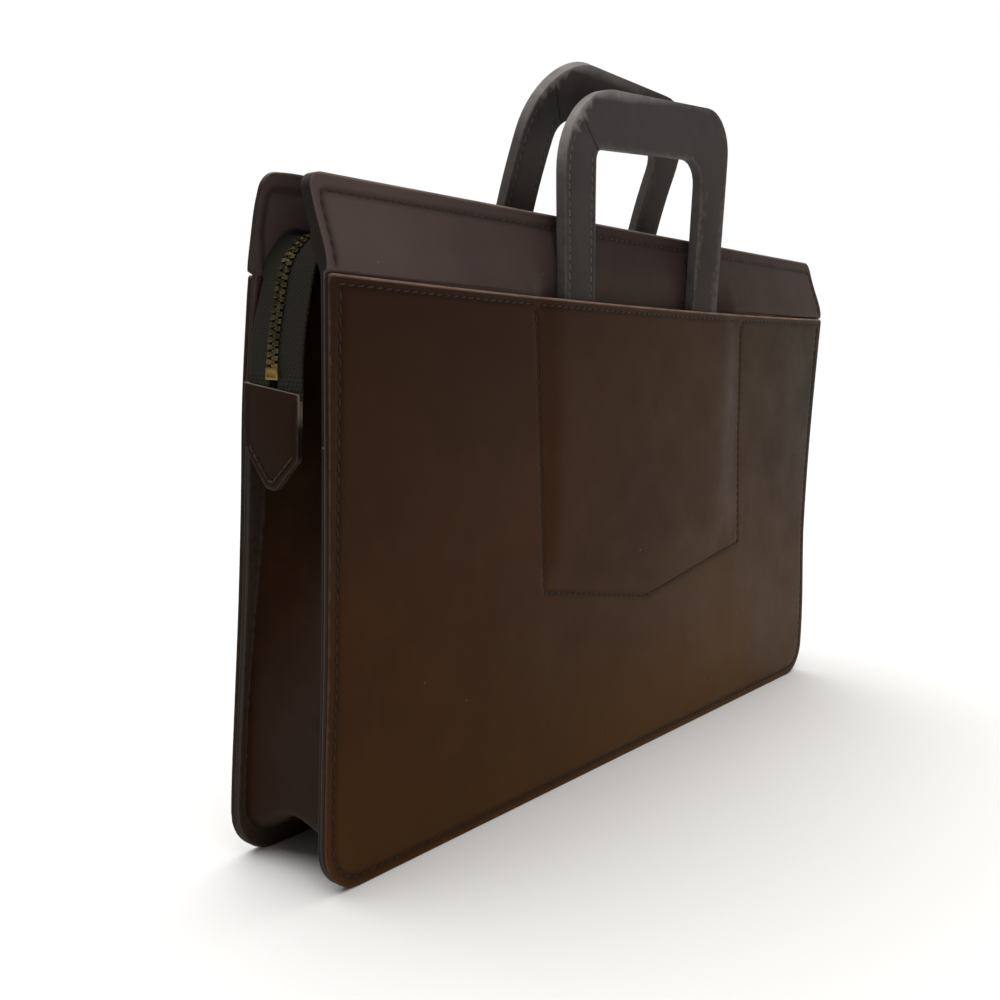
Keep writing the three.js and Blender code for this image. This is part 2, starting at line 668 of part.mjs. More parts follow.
add('front_pocket', pocket(frontPocketOuter, POCKET_WALL, FRONT_HANDLE_X), LEATHER);
add('front_panel', bodyPanel(frontPanelOuter, PANEL_WALL, FRONT_HANDLE_X), BAND_LEATHER);
add('back_pocket', pocket(backPocketOuter, -POCKET_WALL, BACK_HANDLE_X), LEATHER);
add('back_panel', bodyPanel(backPanelOuter, -PANEL_WALL, BACK_HANDLE_X), BAND_LEATHER);
add('gusset', gusset(), LEATHER);
add('zip_tape_front', zipTape(-1), CLOTH);
add('zip_tape_back', zipTape(1), CLOTH);
add('zip_chain', zipChain(), BRASS);
add('zip_bottom_stop', zipStop(), BRASS);
add('zip_slider', zipSlider(), BRASS);
add('zip_end_tab_left', endTab(-1), LEATHER);
add('zip_end_tab_right', endTab(1), LEATHER);
add('front_handle', handle(placeFront, FRONT_EXPOSED), HANDLE_LEATHER);
add('back_handle', handle(placeBack, BACK_EXPOSED), HANDLE_LEATHER);
add('front_handle_stop', handleStop(placeFront), LEATHER);
add('back_handle_stop', handleStop(placeBack), LEATHER);

export default model;
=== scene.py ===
# %% [markdown]
# # A leather document case, piece by piece
#
# The case stands on the bottom edges of its two sides. Each side is two sheets of leather, a body
# panel whose top leans in over the zip and a full-width pocket in front of it, and a folded strip,
# the gusset, joins the sides. Two stiff handles slide down behind the pockets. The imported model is
# loaded first, because every piece here stands for one of its nodes and moves with its body.

# %% Load the frame
import math
import bmesh
import bpy
import numpy as np
from mathutils import Matrix, Vector


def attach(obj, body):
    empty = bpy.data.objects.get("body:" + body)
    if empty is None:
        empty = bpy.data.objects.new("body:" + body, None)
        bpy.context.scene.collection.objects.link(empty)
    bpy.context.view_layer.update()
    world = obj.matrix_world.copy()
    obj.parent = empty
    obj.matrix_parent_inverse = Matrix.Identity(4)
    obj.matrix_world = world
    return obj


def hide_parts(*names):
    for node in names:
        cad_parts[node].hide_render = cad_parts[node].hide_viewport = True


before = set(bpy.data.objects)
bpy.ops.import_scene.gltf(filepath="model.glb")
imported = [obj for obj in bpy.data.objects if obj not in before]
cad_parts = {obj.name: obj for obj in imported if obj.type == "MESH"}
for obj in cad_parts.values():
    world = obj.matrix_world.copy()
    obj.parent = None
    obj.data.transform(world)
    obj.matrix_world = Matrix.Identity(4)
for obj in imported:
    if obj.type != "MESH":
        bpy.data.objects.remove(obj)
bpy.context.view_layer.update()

MM = 0.001

# %% [markdown]
# ## Nodes
#
# The room and every finish are built of shader nodes. Wired by hand each takes a dozen clicks, so
# one helper adds a node with its settings, and the few kinds that come up most have their own.

# %% Node helpers


def material(name):
    made = bpy.data.materials.new(name)
    made.use_nodes = True
    return made, made.node_tree, made.node_tree.nodes["Principled BSDF"]


def feed(tree, made, inputs):
    """Sets a node's inputs, which are numbers, colours or the sockets that feed them."""
    for key, value in inputs.items():
        socket = made.inputs[key]
        if isinstance(value, bpy.types.NodeSocket):
            tree.links.new(value, socket)
        else:
            socket.default_value = (*value, 1) if socket.type == "RGBA" else value
    return made


def node(tree, kind, inputs=None, **settings):
    made = tree.nodes.new(kind)
    for key, value in settings.items():
        setattr(made, key, value)
    return feed(tree, made, inputs or {})


def noise(tree, place, scale, detail=2.0, roughness=0.5):
    return node(tree, "ShaderNodeTexNoise", {
        "Vector": place, "Scale": scale, "Detail": detail, "Roughness": roughness,
    }).outputs["Fac"]


def remap(tree, value, low, high, to_low=0.0, to_high=1.0):
    return node(tree, "ShaderNodeMapRange", {
        "Value": value, "From Min": low, "From Max": high, "To Min": to_low, "To Max": to_high,
    }).outputs["Result"]


def maths(tree, operation, a, b):
    return node(tree, "ShaderNodeMath", {0: a, 1: b}, operation=operation).outputs[0]


def blend_colour(tree, share, a, b):
    return node(tree, "ShaderNodeMix", {0: share, 6: a, 7: b}, data_type="RGBA").outputs[2]


def attribute(tree, name):
    return node(tree, "ShaderNodeAttribute", attribute_name=name).outputs["Fac"]


# %% [markdown]
# ## Camera
#
# A camera stands where the photographer did, low and to the front left, close enough for the near
# edge to look much taller than the far one. It could be aimed with a constraint, but its three
# axes are worked out from its bearing, height angle and roll instead, so it has no helper object.

# %% Camera
CAMERA_PLACE = (-0.45034, -0.30171, 0.19376)
BEARING, HEIGHT_ANGLE, ROLL = (math.radians(a) for a in (-51.46, 7.69, 1.53))
FOCAL_SHARE = 1.10683
SENSOR = 36.0

backward = Vector((
    math.sin(BEARING) * math.cos(HEIGHT_ANGLE),
    -math.cos(BEARING) * math.cos(HEIGHT_ANGLE),
    math.sin(HEIGHT_ANGLE),
))
level = Vector((0, 0, 1)).cross(backward).normalized()
upright = backward.cross(level)
right = math.cos(ROLL) * level + math.sin(ROLL) * upright
up = -math.sin(ROLL) * level + math.cos(ROLL) * upright

camera = bpy.data.objects.new("camera", bpy.data.cameras.new("camera"))
bpy.context.scene.collection.objects.link(camera)
camera.matrix_world = Matrix.Translation(CAMERA_PLACE) @ Matrix((right, up, backward)).transposed().to_4x4()
camera.data.sensor_width = SENSOR
camera.data.lens = FOCAL_SHARE * SENSOR
camera.data.clip_start = 0.01
bpy.context.scene.camera = camera
print("camera lens:", round(camera.data.lens, 2), "mm")

# %% [markdown]
# ## Floor and light
#
# The photo's light falls from above: the tops of the handles are pale and the left end of the case
# is nearly black. A wide, soft overhead light does that and keeps the floor even. A dark leather
# also shows what it mirrors, so the room is bright only behind the case and dim on its other
# sides, and one warm panel stands low at the front right.

# %% Floor and light
FLOOR_SIZE = 12.0


def soft_light(name, place, aim, size, power, colour):
    lamp = bpy.data.lights.new(name, "AREA")
    lamp.shape = "RECTANGLE"
    lamp.size, lamp.size_y = size
    lamp.energy = power
    lamp.color = colour
    holder = bpy.data.objects.new(name, lamp)
    bpy.context.scene.collection.objects.link(holder)
    holder.location = place
    holder.rotation_euler = (Vector(place) - Vector(aim)).to_track_quat("Z", "Y").to_euler()


bpy.ops.object.select_all(action="DESELECT")
bpy.ops.mesh.primitive_circle_add(vertices=96, radius=FLOOR_SIZE, fill_type="NGON")
floor = bpy.context.object
floor.name = "floor"
floor_paint, floor_tree, floor_shader = material("floor_paint")
feed(floor_tree, floor_shader, {
    "Base Color": (0.88, 0.88, 0.88), "Roughness": 0.9, "Specular IOR Level": 0.1,
})
floor.data.materials.append(floor_paint)

CASE_MIDDLE = (0.0, 0.0, 0.13)
soft_light("front_light", (-0.5, -1.3, 1.5), CASE_MIDDLE, (1.2, 1.2), 5, (1.0, 0.97, 0.94))
soft_light("warm_light", (1.15, -0.66, 0.24), (0.12, 0, 0.1), (0.8, 0.4), 0.7, (1.0, 0.8, 0.45))

overhead = bpy.data.objects.new("overhead_light", bpy.data.lights.new("overhead_light", "SUN"))
bpy.context.scene.collection.objects.link(overhead)
overhead.rotation_euler = (math.radians(-10), math.radians(-8), 0)
overhead.data.angle = math.radians(70)
overhead.data.energy = 2.8
overhead.data.color = (1.0, 0.985, 0.965)

ROOM_BRIGHT = (1.0, 1.0, 1.0)
ROOM_DIM = (0.17, 0.165, 0.16)
TOWARDS_BACKDROP = (0.78, 0.62, 0)
world = bpy.data.worlds.new("studio")
bpy.context.scene.world = world
world.use_nodes = True
room = world.node_tree
seen = node(room, "ShaderNodeTexCoord").outputs["Generated"]
facing = node(room, "ShaderNodeVectorMath", {0: seen, 1: TOWARDS_BACKDROP}, operation="DOT_PRODUCT")
share = node(room, "ShaderNodeMapRange", {
    "Value": facing.outputs["Value"], "From Min": 0.05, "From Max": 0.8,
}, interpolation_type="SMOOTHSTEP")
wall = blend_colour(room, share.outputs["Result"], ROOM_DIM, ROOM_BRIGHT)
feed(room, room.nodes["Background"], {"Color": wall})
bpy.context.scene.view_settings.view_transform = "Standard"

# %% [markdown]
# ## Measures
#
# All measures are in millimetres, as on a leather pattern, and a piece's points become metres
# when they are laid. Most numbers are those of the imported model, because each piece lies where
# its solid does; folds, corners and the zip follow the photo more closely here.

# %% Measures
HALF_WIDTH = 200
CASE_HEIGHT = 251
MOUTH_HEIGHT = 217.5
MOUTH_DIP = 2
CASE_DEPTH = 52.5
FRONT_PLANE = -28.5
BOTTOM_CORNER = 18
TOP_CORNER = 6
LEATHER_WALL = 1.8
GUSSET_WALL = 1.4
SEWN_GAP = 0.3
FRONT_BOW = 2.8
LAYERS = LEATHER_WALL + SEWN_GAP

HANDLE_WIDTH = 137
HANDLE_LENGTH = 135.5
HANDLE_THICKNESS = 4.5
LEG_WIDTH = 22.5
GRIP_HEIGHT = 25
FOOT_HEIGHT = 16
FRONT_EXPOSED = 89.7
BACK_EXPOSED = 106.8
# where each handle's middle lies at the mouth: across, and in from the front plane
FRONT_HANDLE = (1, 1)
BACK_HANDLE = (6.2, 48)
BOW_RADIUS = 340
BACK_LEAN = math.radians(7.3)
BACK_YAW = math.radians(2)

CHANNEL_LEFT = 88.9
CHANNEL_RIGHT = 92
CHANNEL_TIP = 8
LEFT_SLANT = 0.0955
RIGHT_SLANT = 0.105
CHANNEL_CORNER_HEIGHT = 92
CHANNEL_POINT_DROP = 15
CHANNEL_ENDS = (-76, 105)
CHANNEL_CLEARANCE = 0.45
SEAT_EDGE = HANDLE_WIDTH / 2 + 1.5
FOOT_LOWEST = 109
PILLOW = 1.1
STEP_SHARE = 0.03

ZIP_HEIGHT = 231
ZIP_START = 182
ZIP_CENTRE = 24
CHAIN_THICKNESS = 2.4
END_OUT = 2.4
END_DROP = 52
TAPE_WIDTH = 29
TAPE_SEAM = 3
TAPE_RISE = 1.6
ZIP_Y = FRONT_PLANE + ZIP_CENTRE
TAPE_END = ZIP_HEIGHT - END_DROP

# share of the height, and how deep the leather lies there at the ends and in the middle
BACK_PROFILE = [
    (0, 1, 1), (0.12, 0.994, 1.002), (0.29, 0.95, 0.998), (0.46, 0.903, 0.983),
    (0.63, 0.872, 1.01), (0.8, 0.853, 1.029), (0.96, 0.8, 1.002), (1, 0.781, 0.99),
]
FRONT_BAND = [
    (0, 0.01, 0.04), (0.12, 0.012, 0.055), (0.26, 0.035, 0.09), (0.5, 0.095, 0.125),
    (0.68, 0.137, 0.155), (0.86, 0.172, 0.183), (1, 0.19, 0.198),
]
BACK_BAND = [
    (0, 0.79, 0.95), (0.1, 0.79, 0.94), (0.34, 0.762, 0.895), (0.64, 0.722, 0.829),
    (0.82, 0.682, 0.781), (1, 0.642, 0.733),
]
print("case:", 2 * HALF_WIDTH, "x", CASE_DEPTH, "x", CASE_HEIGHT, "mm")

# %% [markdown]
# ## The leather's shape
#
# A soft case is bowed everywhere, so its sides are given as a depth at each place of the front
# view. A few numbers down the middle and down the ends are joined by a smooth curve, and the
# channel, where a handle slides between pocket and panel, pushes the two sheets apart.

# %% Curves


def lerp(a, b, share):
    return a + (b - a) * share


def clamp(value, low=0.0, high=1.0):
    return max(low, min(high, value))


def smooth(value, start, end):
    share = clamp((value - start) / (end - start))
    return share * share * (3 - 2 * share)


def ridge(distance, width):
    return math.exp(-(distance / width) ** 2)


def along_curve(table, place, column):
    """Reads a smooth curve through a table's rows, whose first column is the place."""
    place = clamp(place, table[0][0], table[-1][0])
    k = next(i for i in range(1, len(table)) if table[i][0] >= place)
    rows = [table[max(0, k - 2)], table[k - 1], table[k], table[min(len(table) - 1, k + 1)]]
    gap = rows[2][0] - rows[1][0]

    def slope(a, b):
        return (b[column] - a[column]) / max(b[0] - a[0], 1e-6) * gap

    start, end = slope(rows[0], rows[2]), slope(rows[1], rows[3])
    t = (place - rows[1][0]) / gap
    return (
        (2 * t ** 3 - 3 * t ** 2 + 1) * rows[1][column] + (t ** 3 - 2 * t ** 2 + t) * start
        + (3 * t ** 2 - 2 * t ** 3) * rows[2][column] + (t ** 3 - t ** 2) * end
    )


def belly(x):
    return 1 - (x / HALF_WIDTH) ** 2


def along_front(u, a, t):
    """A point of the front handle: u across, a up from the mouth, t in from its face."""
    return (FRONT_HANDLE[0] + u, FRONT_PLANE + FRONT_HANDLE[1] + t, MOUTH_HEIGHT + a)


def along_back(u, a, t):
    """The same for the back handle, which is bowed to one radius."""
    lean = BACK_LEAN + a / BOW_RADIUS
    out = (BOW_RADIUS + t) * math.cos(lean) - BOW_RADIUS * math.cos(BACK_LEAN)
    rise = (BOW_RADIUS + t) * math.sin(lean) - BOW_RADIUS * math.sin(BACK_LEAN)
    return (
        BACK_HANDLE[0] + u * math.cos(BACK_YAW) - out * math.sin(BACK_YAW),
        FRONT_PLANE + BACK_HANDLE[1] + u * math.sin(BACK_YAW) + out * math.cos(BACK_YAW),
        MOUTH_HEIGHT + rise,
    )


def back_path(x, z, t):
    """Depth of the bowed handle's surface, t in from its face, at a place of the front view."""
    rise = z - MOUTH_HEIGHT + BOW_RADIUS * math.sin(BACK_LEAN)
    out = math.sqrt((BOW_RADIUS + t) ** 2 - rise ** 2) - BOW_RADIUS * math.cos(BACK_LEAN)
    sideways = (x - BACK_HANDLE[0]) * math.tan(BACK_YAW)
    return FRONT_PLANE + BACK_HANDLE[1] + sideways + out / math.cos(BACK_YAW)


print("back handle leans", round(math.degrees(BACK_LEAN), 1), "degrees at the mouth")

# %% Channels and faces


def channel_lines(z, centre):
    """The left and right stitch lines of a channel; both slant to the right going down."""
    down = MOUTH_HEIGHT - z
    return centre - CHANNEL_LEFT + down * LEFT_SLANT, centre + CHANNEL_RIGHT + down * RIGHT_SLANT


def channel_floor(x):
    """Height of the channel's bottom stitch line, a shallow V."""
    end = CHANNEL_ENDS[0] if x < CHANNEL_TIP else CHANNEL_ENDS[1]
    reach = abs(end - CHANNEL_TIP)
    side = min(1, abs(x - CHANNEL_TIP) / reach)
    return CHANNEL_CORNER_HEIGHT - CHANNEL_POINT_DROP * (1 - side)


def in_channel(x, z, centre):
    """How far a place is inside the channel across, and across and up from its bottom line."""
    left, right_line = channel_lines(z, centre)
    share = min(smooth(x, left, centre - SEAT_EDGE), 1 - smooth(x, centre + SEAT_EDGE, right_line))
    return share, share * smooth(z, channel_floor(x), FOOT_LOWEST)


def pillow(z):
    up = clamp((z - CHANNEL_CORNER_HEIGHT) / (MOUTH_HEIGHT - CHANNEL_CORNER_HEIGHT))
    return PILLOW * math.sin(math.pi * up)


def front_base(x, z):
    rise = math.sin(math.pi * clamp(z / MOUTH_HEIGHT))
    side = lerp(-0.43, 1, (x / HALF_WIDTH / 2 + 0.5) ** 2)
    return FRONT_PLANE + FRONT_BOW * side * rise * smooth(z, BOTTOM_CORNER, CHANNEL_CORNER_HEIGHT)


def front_pocket_face(x, z):
    seat = FRONT_PLANE + FRONT_HANDLE[1] - CHANNEL_CLEARANCE - LEATHER_WALL - pillow(z)
    return lerp(front_base(x, z), seat, in_channel(x, z, FRONT_HANDLE[0])[1])


def front_panel_face(x, z):
    seat = FRONT_PLANE + FRONT_HANDLE[1] + HANDLE_THICKNESS + CHANNEL_CLEARANCE
    share, low_share = in_channel(x, z, FRONT_HANDLE[0])
    if z <= MOUTH_HEIGHT:
        return lerp(front_base(x, z) + LAYERS, seat, low_share)
    h = (z - MOUTH_HEIGHT) / (CASE_HEIGHT - MOUTH_HEIGHT)
    depth = lerp(along_curve(FRONT_BAND, h, 1), along_curve(FRONT_BAND, h, 2), belly(x))
    band = FRONT_PLANE + max(lerp(LAYERS, 0.5, smooth(h, 0, STEP_SHARE)), depth * CASE_DEPTH)
    return lerp(band, max(band, seat), share)


def back_base(x, z):
    h = z / MOUTH_HEIGHT
    depth = lerp(along_curve(BACK_PROFILE, h, 1), along_curve(BACK_PROFILE, h, 2), belly(x))
    turn = x * math.tan(BACK_YAW) * belly(x) * smooth(h, 0.1, 0.6)
    return FRONT_PLANE + depth * CASE_DEPTH + turn


def back_pocket_face(x, z):
    seat = back_path(x, z, HANDLE_THICKNESS + CHANNEL_CLEARANCE + LEATHER_WALL) + pillow(z) / 2
    return lerp(back_base(x, z), seat, in_channel(x, z, BACK_HANDLE[0])[1])


def back_panel_face(x, z):
    seat = back_path(x, z, -CHANNEL_CLEARANCE)
    share, low_share = in_channel(x, z, BACK_HANDLE[0])
    if z <= MOUTH_HEIGHT:
        return lerp(back_base(x, z) - LAYERS, seat, low_share)
    h = (z - MOUTH_HEIGHT) / (CASE_HEIGHT - MOUTH_HEIGHT)
    mouth = back_base(x, MOUTH_HEIGHT) - LAYERS
    depth = lerp(along_curve(BACK_BAND, h, 1), along_curve(BACK_BAND, h, 2), belly(x))
    free = FRONT_PLANE + depth * CASE_DEPTH
    band = lerp(min(mouth, free), free, smooth(h, 0, STEP_SHARE))
    return lerp(band, min(band, seat), share)


print("front pocket's depth in the channel:", round(front_pocket_face(0, 160), 2))

# %% [markdown]
# ## Working by hand
#
# Operators act on whatever is selected, so each piece starts with nothing selected. These small
# helpers pick one piece, pick parts of it by their place, and finish a modifier.

# %% Selecting and finishing


def only(piece):
    if bpy.context.object and bpy.context.object.mode != "OBJECT":
        bpy.ops.object.mode_set(mode="OBJECT")
    bpy.ops.object.select_all(action="DESELECT")
    piece.select_set(True)
    bpy.context.view_layer.objects.active = piece


def pick(piece, kind, test):
    """Opens a piece in edit mode with those of its parts selected whose middle passes a test."""
    only(piece)
    bpy.ops.object.mode_set(mode="EDIT")
    bpy.ops.mesh.select_mode(type=kind)
    bpy.ops.mesh.select_all(action="DESELECT")
    shape = bmesh.from_edit_mesh(piece.data)
    if kind == "VERT":
        for vertex in shape.verts:
            vertex.select_set(test(vertex.co))
    elif kind == "EDGE":
        for edge in shape.edges:
            edge.select_set(test((edge.verts[0].co + edge.verts[1].co) / 2))
    else:
        for face in shape.faces:
            face.select_set(test(face.calc_center_median()))
    bmesh.update_edit_mesh(piece.data)


def done():
    bpy.ops.object.mode_set(mode="OBJECT")


def everywhere(point):
    return True


def cut(piece, place, direction, test=everywhere):
    pick(piece, "FACE", test)
    bpy.ops.mesh.bisect(plane_co=[v * MM for v in place], plane_no=direction)
    done()


def squeeze(piece, kind, test, share):
    pick(piece, kind, test)
    bpy.ops.transform.resize(value=share)
    done()


def round_points(piece, radius, steps, test=everywhere):
    pick(piece, "VERT", test)
    bpy.ops.mesh.bevel(affect="VERTICES", offset=radius * MM, segments=steps)
    done()


def join(piece, *others):
    only(piece)
    for other in others:
        other.select_set(True)
    bpy.ops.object.join()


def modify(piece, kind, **settings):
    """Adds a modifier with its settings and applies it."""
    only(piece)
    modifier = piece.modifiers.new(kind.lower(), kind)
    for name, value in settings.items():
        setattr(modifier, name, value)
    bpy.ops.object.modifier_apply(modifier=modifier.name)


def fresh(name, add, **settings):
    """Adds a primitive with nothing else selected, names it and puts its place into its mesh."""
    bpy.ops.object.select_all(action="DESELECT")
    add(size=1, **settings)
    piece = bpy.context.object
    piece.name = name
    piece.data.name = name
    bpy.ops.object.transform_apply(location=True, rotation=True, scale=True)
    return piece


def lay(piece, place):
    """Moves every vertex, in millimetres, to where the piece lies on the case."""
    for vertex in piece.data.vertices:
        vertex.co = Vector(place(*(vertex.co / MM))) * MM
    piece.data.update()


def round_rim(piece, rim, steps, angle, clamp_rim=True):
    modify(
        piece, "BEVEL", width=rim * MM, segments=steps, limit_method="ANGLE",
        angle_limit=math.radians(angle), use_clamp_overlap=clamp_rim)


def thicken(piece, wall, rim=0.45, rim_steps=2, clamp_rim=True):
    modify(piece, "SOLIDIFY", thickness=wall * MM, offset=-1, use_even_offset=True)
    round_rim(piece, rim, rim_steps, 55, clamp_rim)


def smooth_skin(piece, angle=40):
    only(piece)
    bpy.ops.object.shade_smooth_by_angle(angle=math.radians(angle))


def ready(piece, body, stands_for=()):
    """Says what a finished piece rides on and which nodes it stands for."""
    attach(piece, body)
    if stands_for:
        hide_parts(*stands_for)
    triangles = sum(len(face.vertices) - 2 for face in piece.data.polygons)
    print(f"{piece.name}: {triangles} triangles")
    return piece


def note(piece, name, measure):
    """Stores a number from 0 to 1 on every vertex, which a material can read."""
    values = [clamp(measure(vertex.co / MM)) for vertex in piece.data.vertices]
    held = piece.data.attributes.new(name, "FLOAT", "POINT")
    held.data.foreach_set("value", values)


# %% [markdown]
# ## Stitch lines
#
# Every sheet is sewn round its edge and round the channel. The lines are drawn first, because
# three things follow them: the threads, the shallow groove that the thread pulls into the
# leather, and the grid lines of the sheets, which are gathered there so that the groove is crisp.

# %% Stitch lines
EDGE_STITCH = 3.9
LIP_STITCH = 3.3
BAND_STITCH = 6.0
TURN_RADIUS = 6.0
SIDE_BEND = 130
PITCH = 4.4


def arc(centre, radius, start_angle, end_angle, steps=8):
    return [
        (
            centre[0] + radius * math.cos(math.radians(lerp(start_angle, end_angle, k / steps))),
            centre[1] + radius * math.sin(math.radians(lerp(start_angle, end_angle, k / steps))),
        )
        for k in range(steps + 1)
    ]


def side_line():
    """Down the left side, round both bottom corners and up the right side."""
    inset = HALF_WIDTH - EDGE_STITCH
    radius = BOTTOM_CORNER - EDGE_STITCH
    left = arc((-HALF_WIDTH + BOTTOM_CORNER, BOTTOM_CORNER), radius, 180, 270)
    right_side = arc((HALF_WIDTH - BOTTOM_CORNER, BOTTOM_CORNER), radius, 270, 360)
    high, top_inset = MOUTH_HEIGHT - LIP_STITCH - 1.5, inset - 1.6
    return [
        (-top_inset, high), (-inset, SIDE_BEND), *left, *right_side, (inset, SIDE_BEND), (top_inset, high),
    ]


def channel_line(centre):
    """From the left edge along the mouth, down one side of the channel, and back up and out."""
    level_z = MOUTH_HEIGHT - LIP_STITCH
    turn = level_z - TURN_RADIUS
    left_top, right_top = channel_lines(turn, centre)
    left_low, right_low = channel_lines(CHANNEL_CORNER_HEIGHT, centre)
    return [
        (-HALF_WIDTH + EDGE_STITCH, level_z),
        *arc((left_top - TURN_RADIUS, turn), TURN_RADIUS, 90, 0),
        (left_low, channel_floor(left_low)),
        (CHANNEL_TIP, channel_floor(CHANNEL_TIP)),
        (right_low, channel_floor(right_low)),
        *arc((right_top + TURN_RADIUS, turn), TURN_RADIUS, 180, 90),
        (HALF_WIDTH - EDGE_STITCH, level_z),
    ]


def lip_line(centre):
    left, right_line = channel_lines(MOUTH_HEIGHT, centre)
    return [(left + 4, MOUTH_HEIGHT - LIP_STITCH), (right_line - 4, MOUTH_HEIGHT - LIP_STITCH)]


def band_line():
    """Up the left edge of the band, along its top and down the right edge."""
    top = CASE_HEIGHT - BAND_STITCH
    inset = HALF_WIDTH - EDGE_STITCH
    return [
        (-inset, MOUTH_HEIGHT + 3),
        *arc((-inset + 3, top - 3), 3, 180, 90, 3),
        *arc((inset - 3, top - 3), 3, 90, 0, 3),
        (inset, MOUTH_HEIGHT + 3),
    ]


def segments(lines):
    pairs = [(a, b) for line in lines for a, b in zip(line, line[1:])]
    return np.array([p[0] for p in pairs]), np.array([p[1] for p in pairs])


def distance_to(ends, x, z):
    """Shortest way from a place to a set of straight pieces of line."""
    starts, stops = ends
    run = stops - starts
    point = np.array((x, z)) - starts
    share = np.clip((point * run).sum(1) / np.maximum((run ** 2).sum(1), 1e-9), 0, 1)
    return float(np.sqrt(((point - run * share[:, None]) ** 2).sum(1).min()))


print("channel line:", len(channel_line(FRONT_HANDLE[0])), "points")

# %% [markdown]
# ## Pockets and panels
#
# On the real case these four are flat cuts of leather, drawn into shape by their seams. A plane
# could be sculpted, but a grid whose lines already run where the seams do keeps every groove
# sharp with few faces. The grid is flat and square at first; its lines are spread to their
# places, its corners are rounded, and each point is then set to the leather's depth. Solidify
# gives the wall and Bevel rounds the cut edge.

# %% Grid lines
NEAR = (0, 0.5, 1.2, 2.1, 3.1, EDGE_STITCH, 4.7, 5.8, 7.6, 10, 13, BOTTOM_CORNER)
BY_SEAM = (-5.5, -3.6, -2.2, -1.1, 0, 1.1, 2.2, 3.6, 5.5)


def spread(a, b, step):
    count = max(1, round(abs(b - a) / step))
    return [lerp(a, b, k / count) for k in range(1, count)]


def key_lines(z, centre):
    return [-HALF_WIDTH + BOTTOM_CORNER, *channel_lines(z, centre), HALF_WIDTH - BOTTOM_CORNER]


def column_places(centre, step):
    """Columns as (key line, distance from it, share of the way to the next key line)."""
    keys = key_lines(MOUTH_HEIGHT, centre)
    columns = [(None, -HALF_WIDTH + n, 0) for n in NEAR[:-1]]
    for k, key in enumerate(keys):
        seam = k in (1, 2)
        columns += [(k, d, 0) for d in (BY_SEAM if seam else (0,))]
        if k + 1 < len(keys):
            room_from = BY_SEAM[-1] if seam else 0
            room_to = BY_SEAM[0] if k + 1 in (1, 2) else 0
            width = keys[k + 1] + room_to - key - room_from
            count = max(1, round(width / step))
            columns += [(k, (room_from, room_to), m / count) for m in range(1, count)]
    columns += [(None, HALF_WIDTH - n, 0) for n in reversed(NEAR[:-1])]
    return columns


def column_x(column, z, centre):
    kind, shift, share = column
    if kind is None:
        return shift
    keys = key_lines(z, centre)
    if share == 0:
        return keys[kind] + shift
    return lerp(keys[kind] + shift[0], keys[kind + 1] + shift[1], share)


def row_places(step, fine_top, seam):
    """Rows as heights, or as (distance,) from the channel's bottom line."""
    rows = list(NEAR)
    below, above = CHANNEL_CORNER_HEIGHT - 22, CHANNEL_CORNER_HEIGHT + 8
    if seam:
        rows += [*spread(BOTTOM_CORNER, below, step), below, *((d,) for d in BY_SEAM)]
        rows += [above, *spread(above, fine_top[0], step)]
    else:
        rows += spread(BOTTOM_CORNER, fine_top[0], step)
    return rows + list(fine_top)


def row_z(row, x):
    return channel_floor(x) + row[0] if isinstance(row, tuple) else row


def round_corners(x, z, top, top_radius):
    """Bends the square grid's corners round, so that its outer lines stay parallel to the edge."""
    for corner_z, radius, sign in ((0, BOTTOM_CORNER, 1), (top, top_radius, -1)):
        a, b = HALF_WIDTH - abs(x), (z - corner_z) * sign
        if a < radius and b < radius:
            p, q = radius - a, radius - b
            ring, low = max(p, q), min(p, q)
            angle = math.pi / 4 * (low / ring if ring else 0)
            if q > p:
                angle = math.pi / 2 - angle
            x = math.copysign(HALF_WIDTH - radius + ring * math.cos(angle), x)
            z = corner_z + sign * (radius - ring * math.sin(angle))
    return x, z


print("columns:", len(column_places(1, 4)))

# %% Leather sheets
GROOVE_DEPTH = 0.32
GROOVE_HALF = 0.85


def groove(distance):
    return GROOVE_DEPTH * ridge(distance, GROOVE_HALF)


def puckers(x, z):
    """Slow waves a few tenths high, which keep a large sheet from looking machined."""
    return (
        0.16 * math.sin(x / 31 + 0.7) * math.sin(z / 23 + 1.9)
        + 0.10 * math.sin(x / 17.3 + z / 41 + 0.4)
        + 0.06 * math.sin(z / 11.7 - x / 53)
    )


def skin_over(face, out, lines, sag, settle):
    """The sheet's outer surface, as the point where a place of the flat pattern ends up."""
    ends = segments(lines)

    def skin(x, z):
        depth = face(x, z) + out * (puckers(x, z) * settle(x, z) - groove(distance_to(ends, x, z)))
        return Vector((x, depth, z - sag(x, z)))

    return skin


def leather_sheet(name, skin, out, centre, rows, top, top_radius, column_step):
    """A sheet over the front view; out is -1 on the front of the case and 1 on its back."""
    columns = column_places(centre, column_step)
    nx, nz = len(columns) - 1, len(rows) - 1
    sheet = fresh(name, bpy.ops.mesh.primitive_grid_add, x_subdivisions=nx, y_subdivisions=nz)

    def place(gx, gy, _):
        i = round((gx * MM + 0.5) * nx)
        j = round((gy * MM + 0.5) * nz)
        i = i if out < 0 else nx - i
        x = column_x(columns[i], row_z(rows[j], 0), centre)
        z = row_z(rows[j], x)
        x = column_x(columns[i], z, centre)
        return skin(*round_corners(x, z, top, top_radius))

    lay(sheet, place)
    thicken(sheet, LEATHER_WALL, clamp_rim=False)
    return sheet


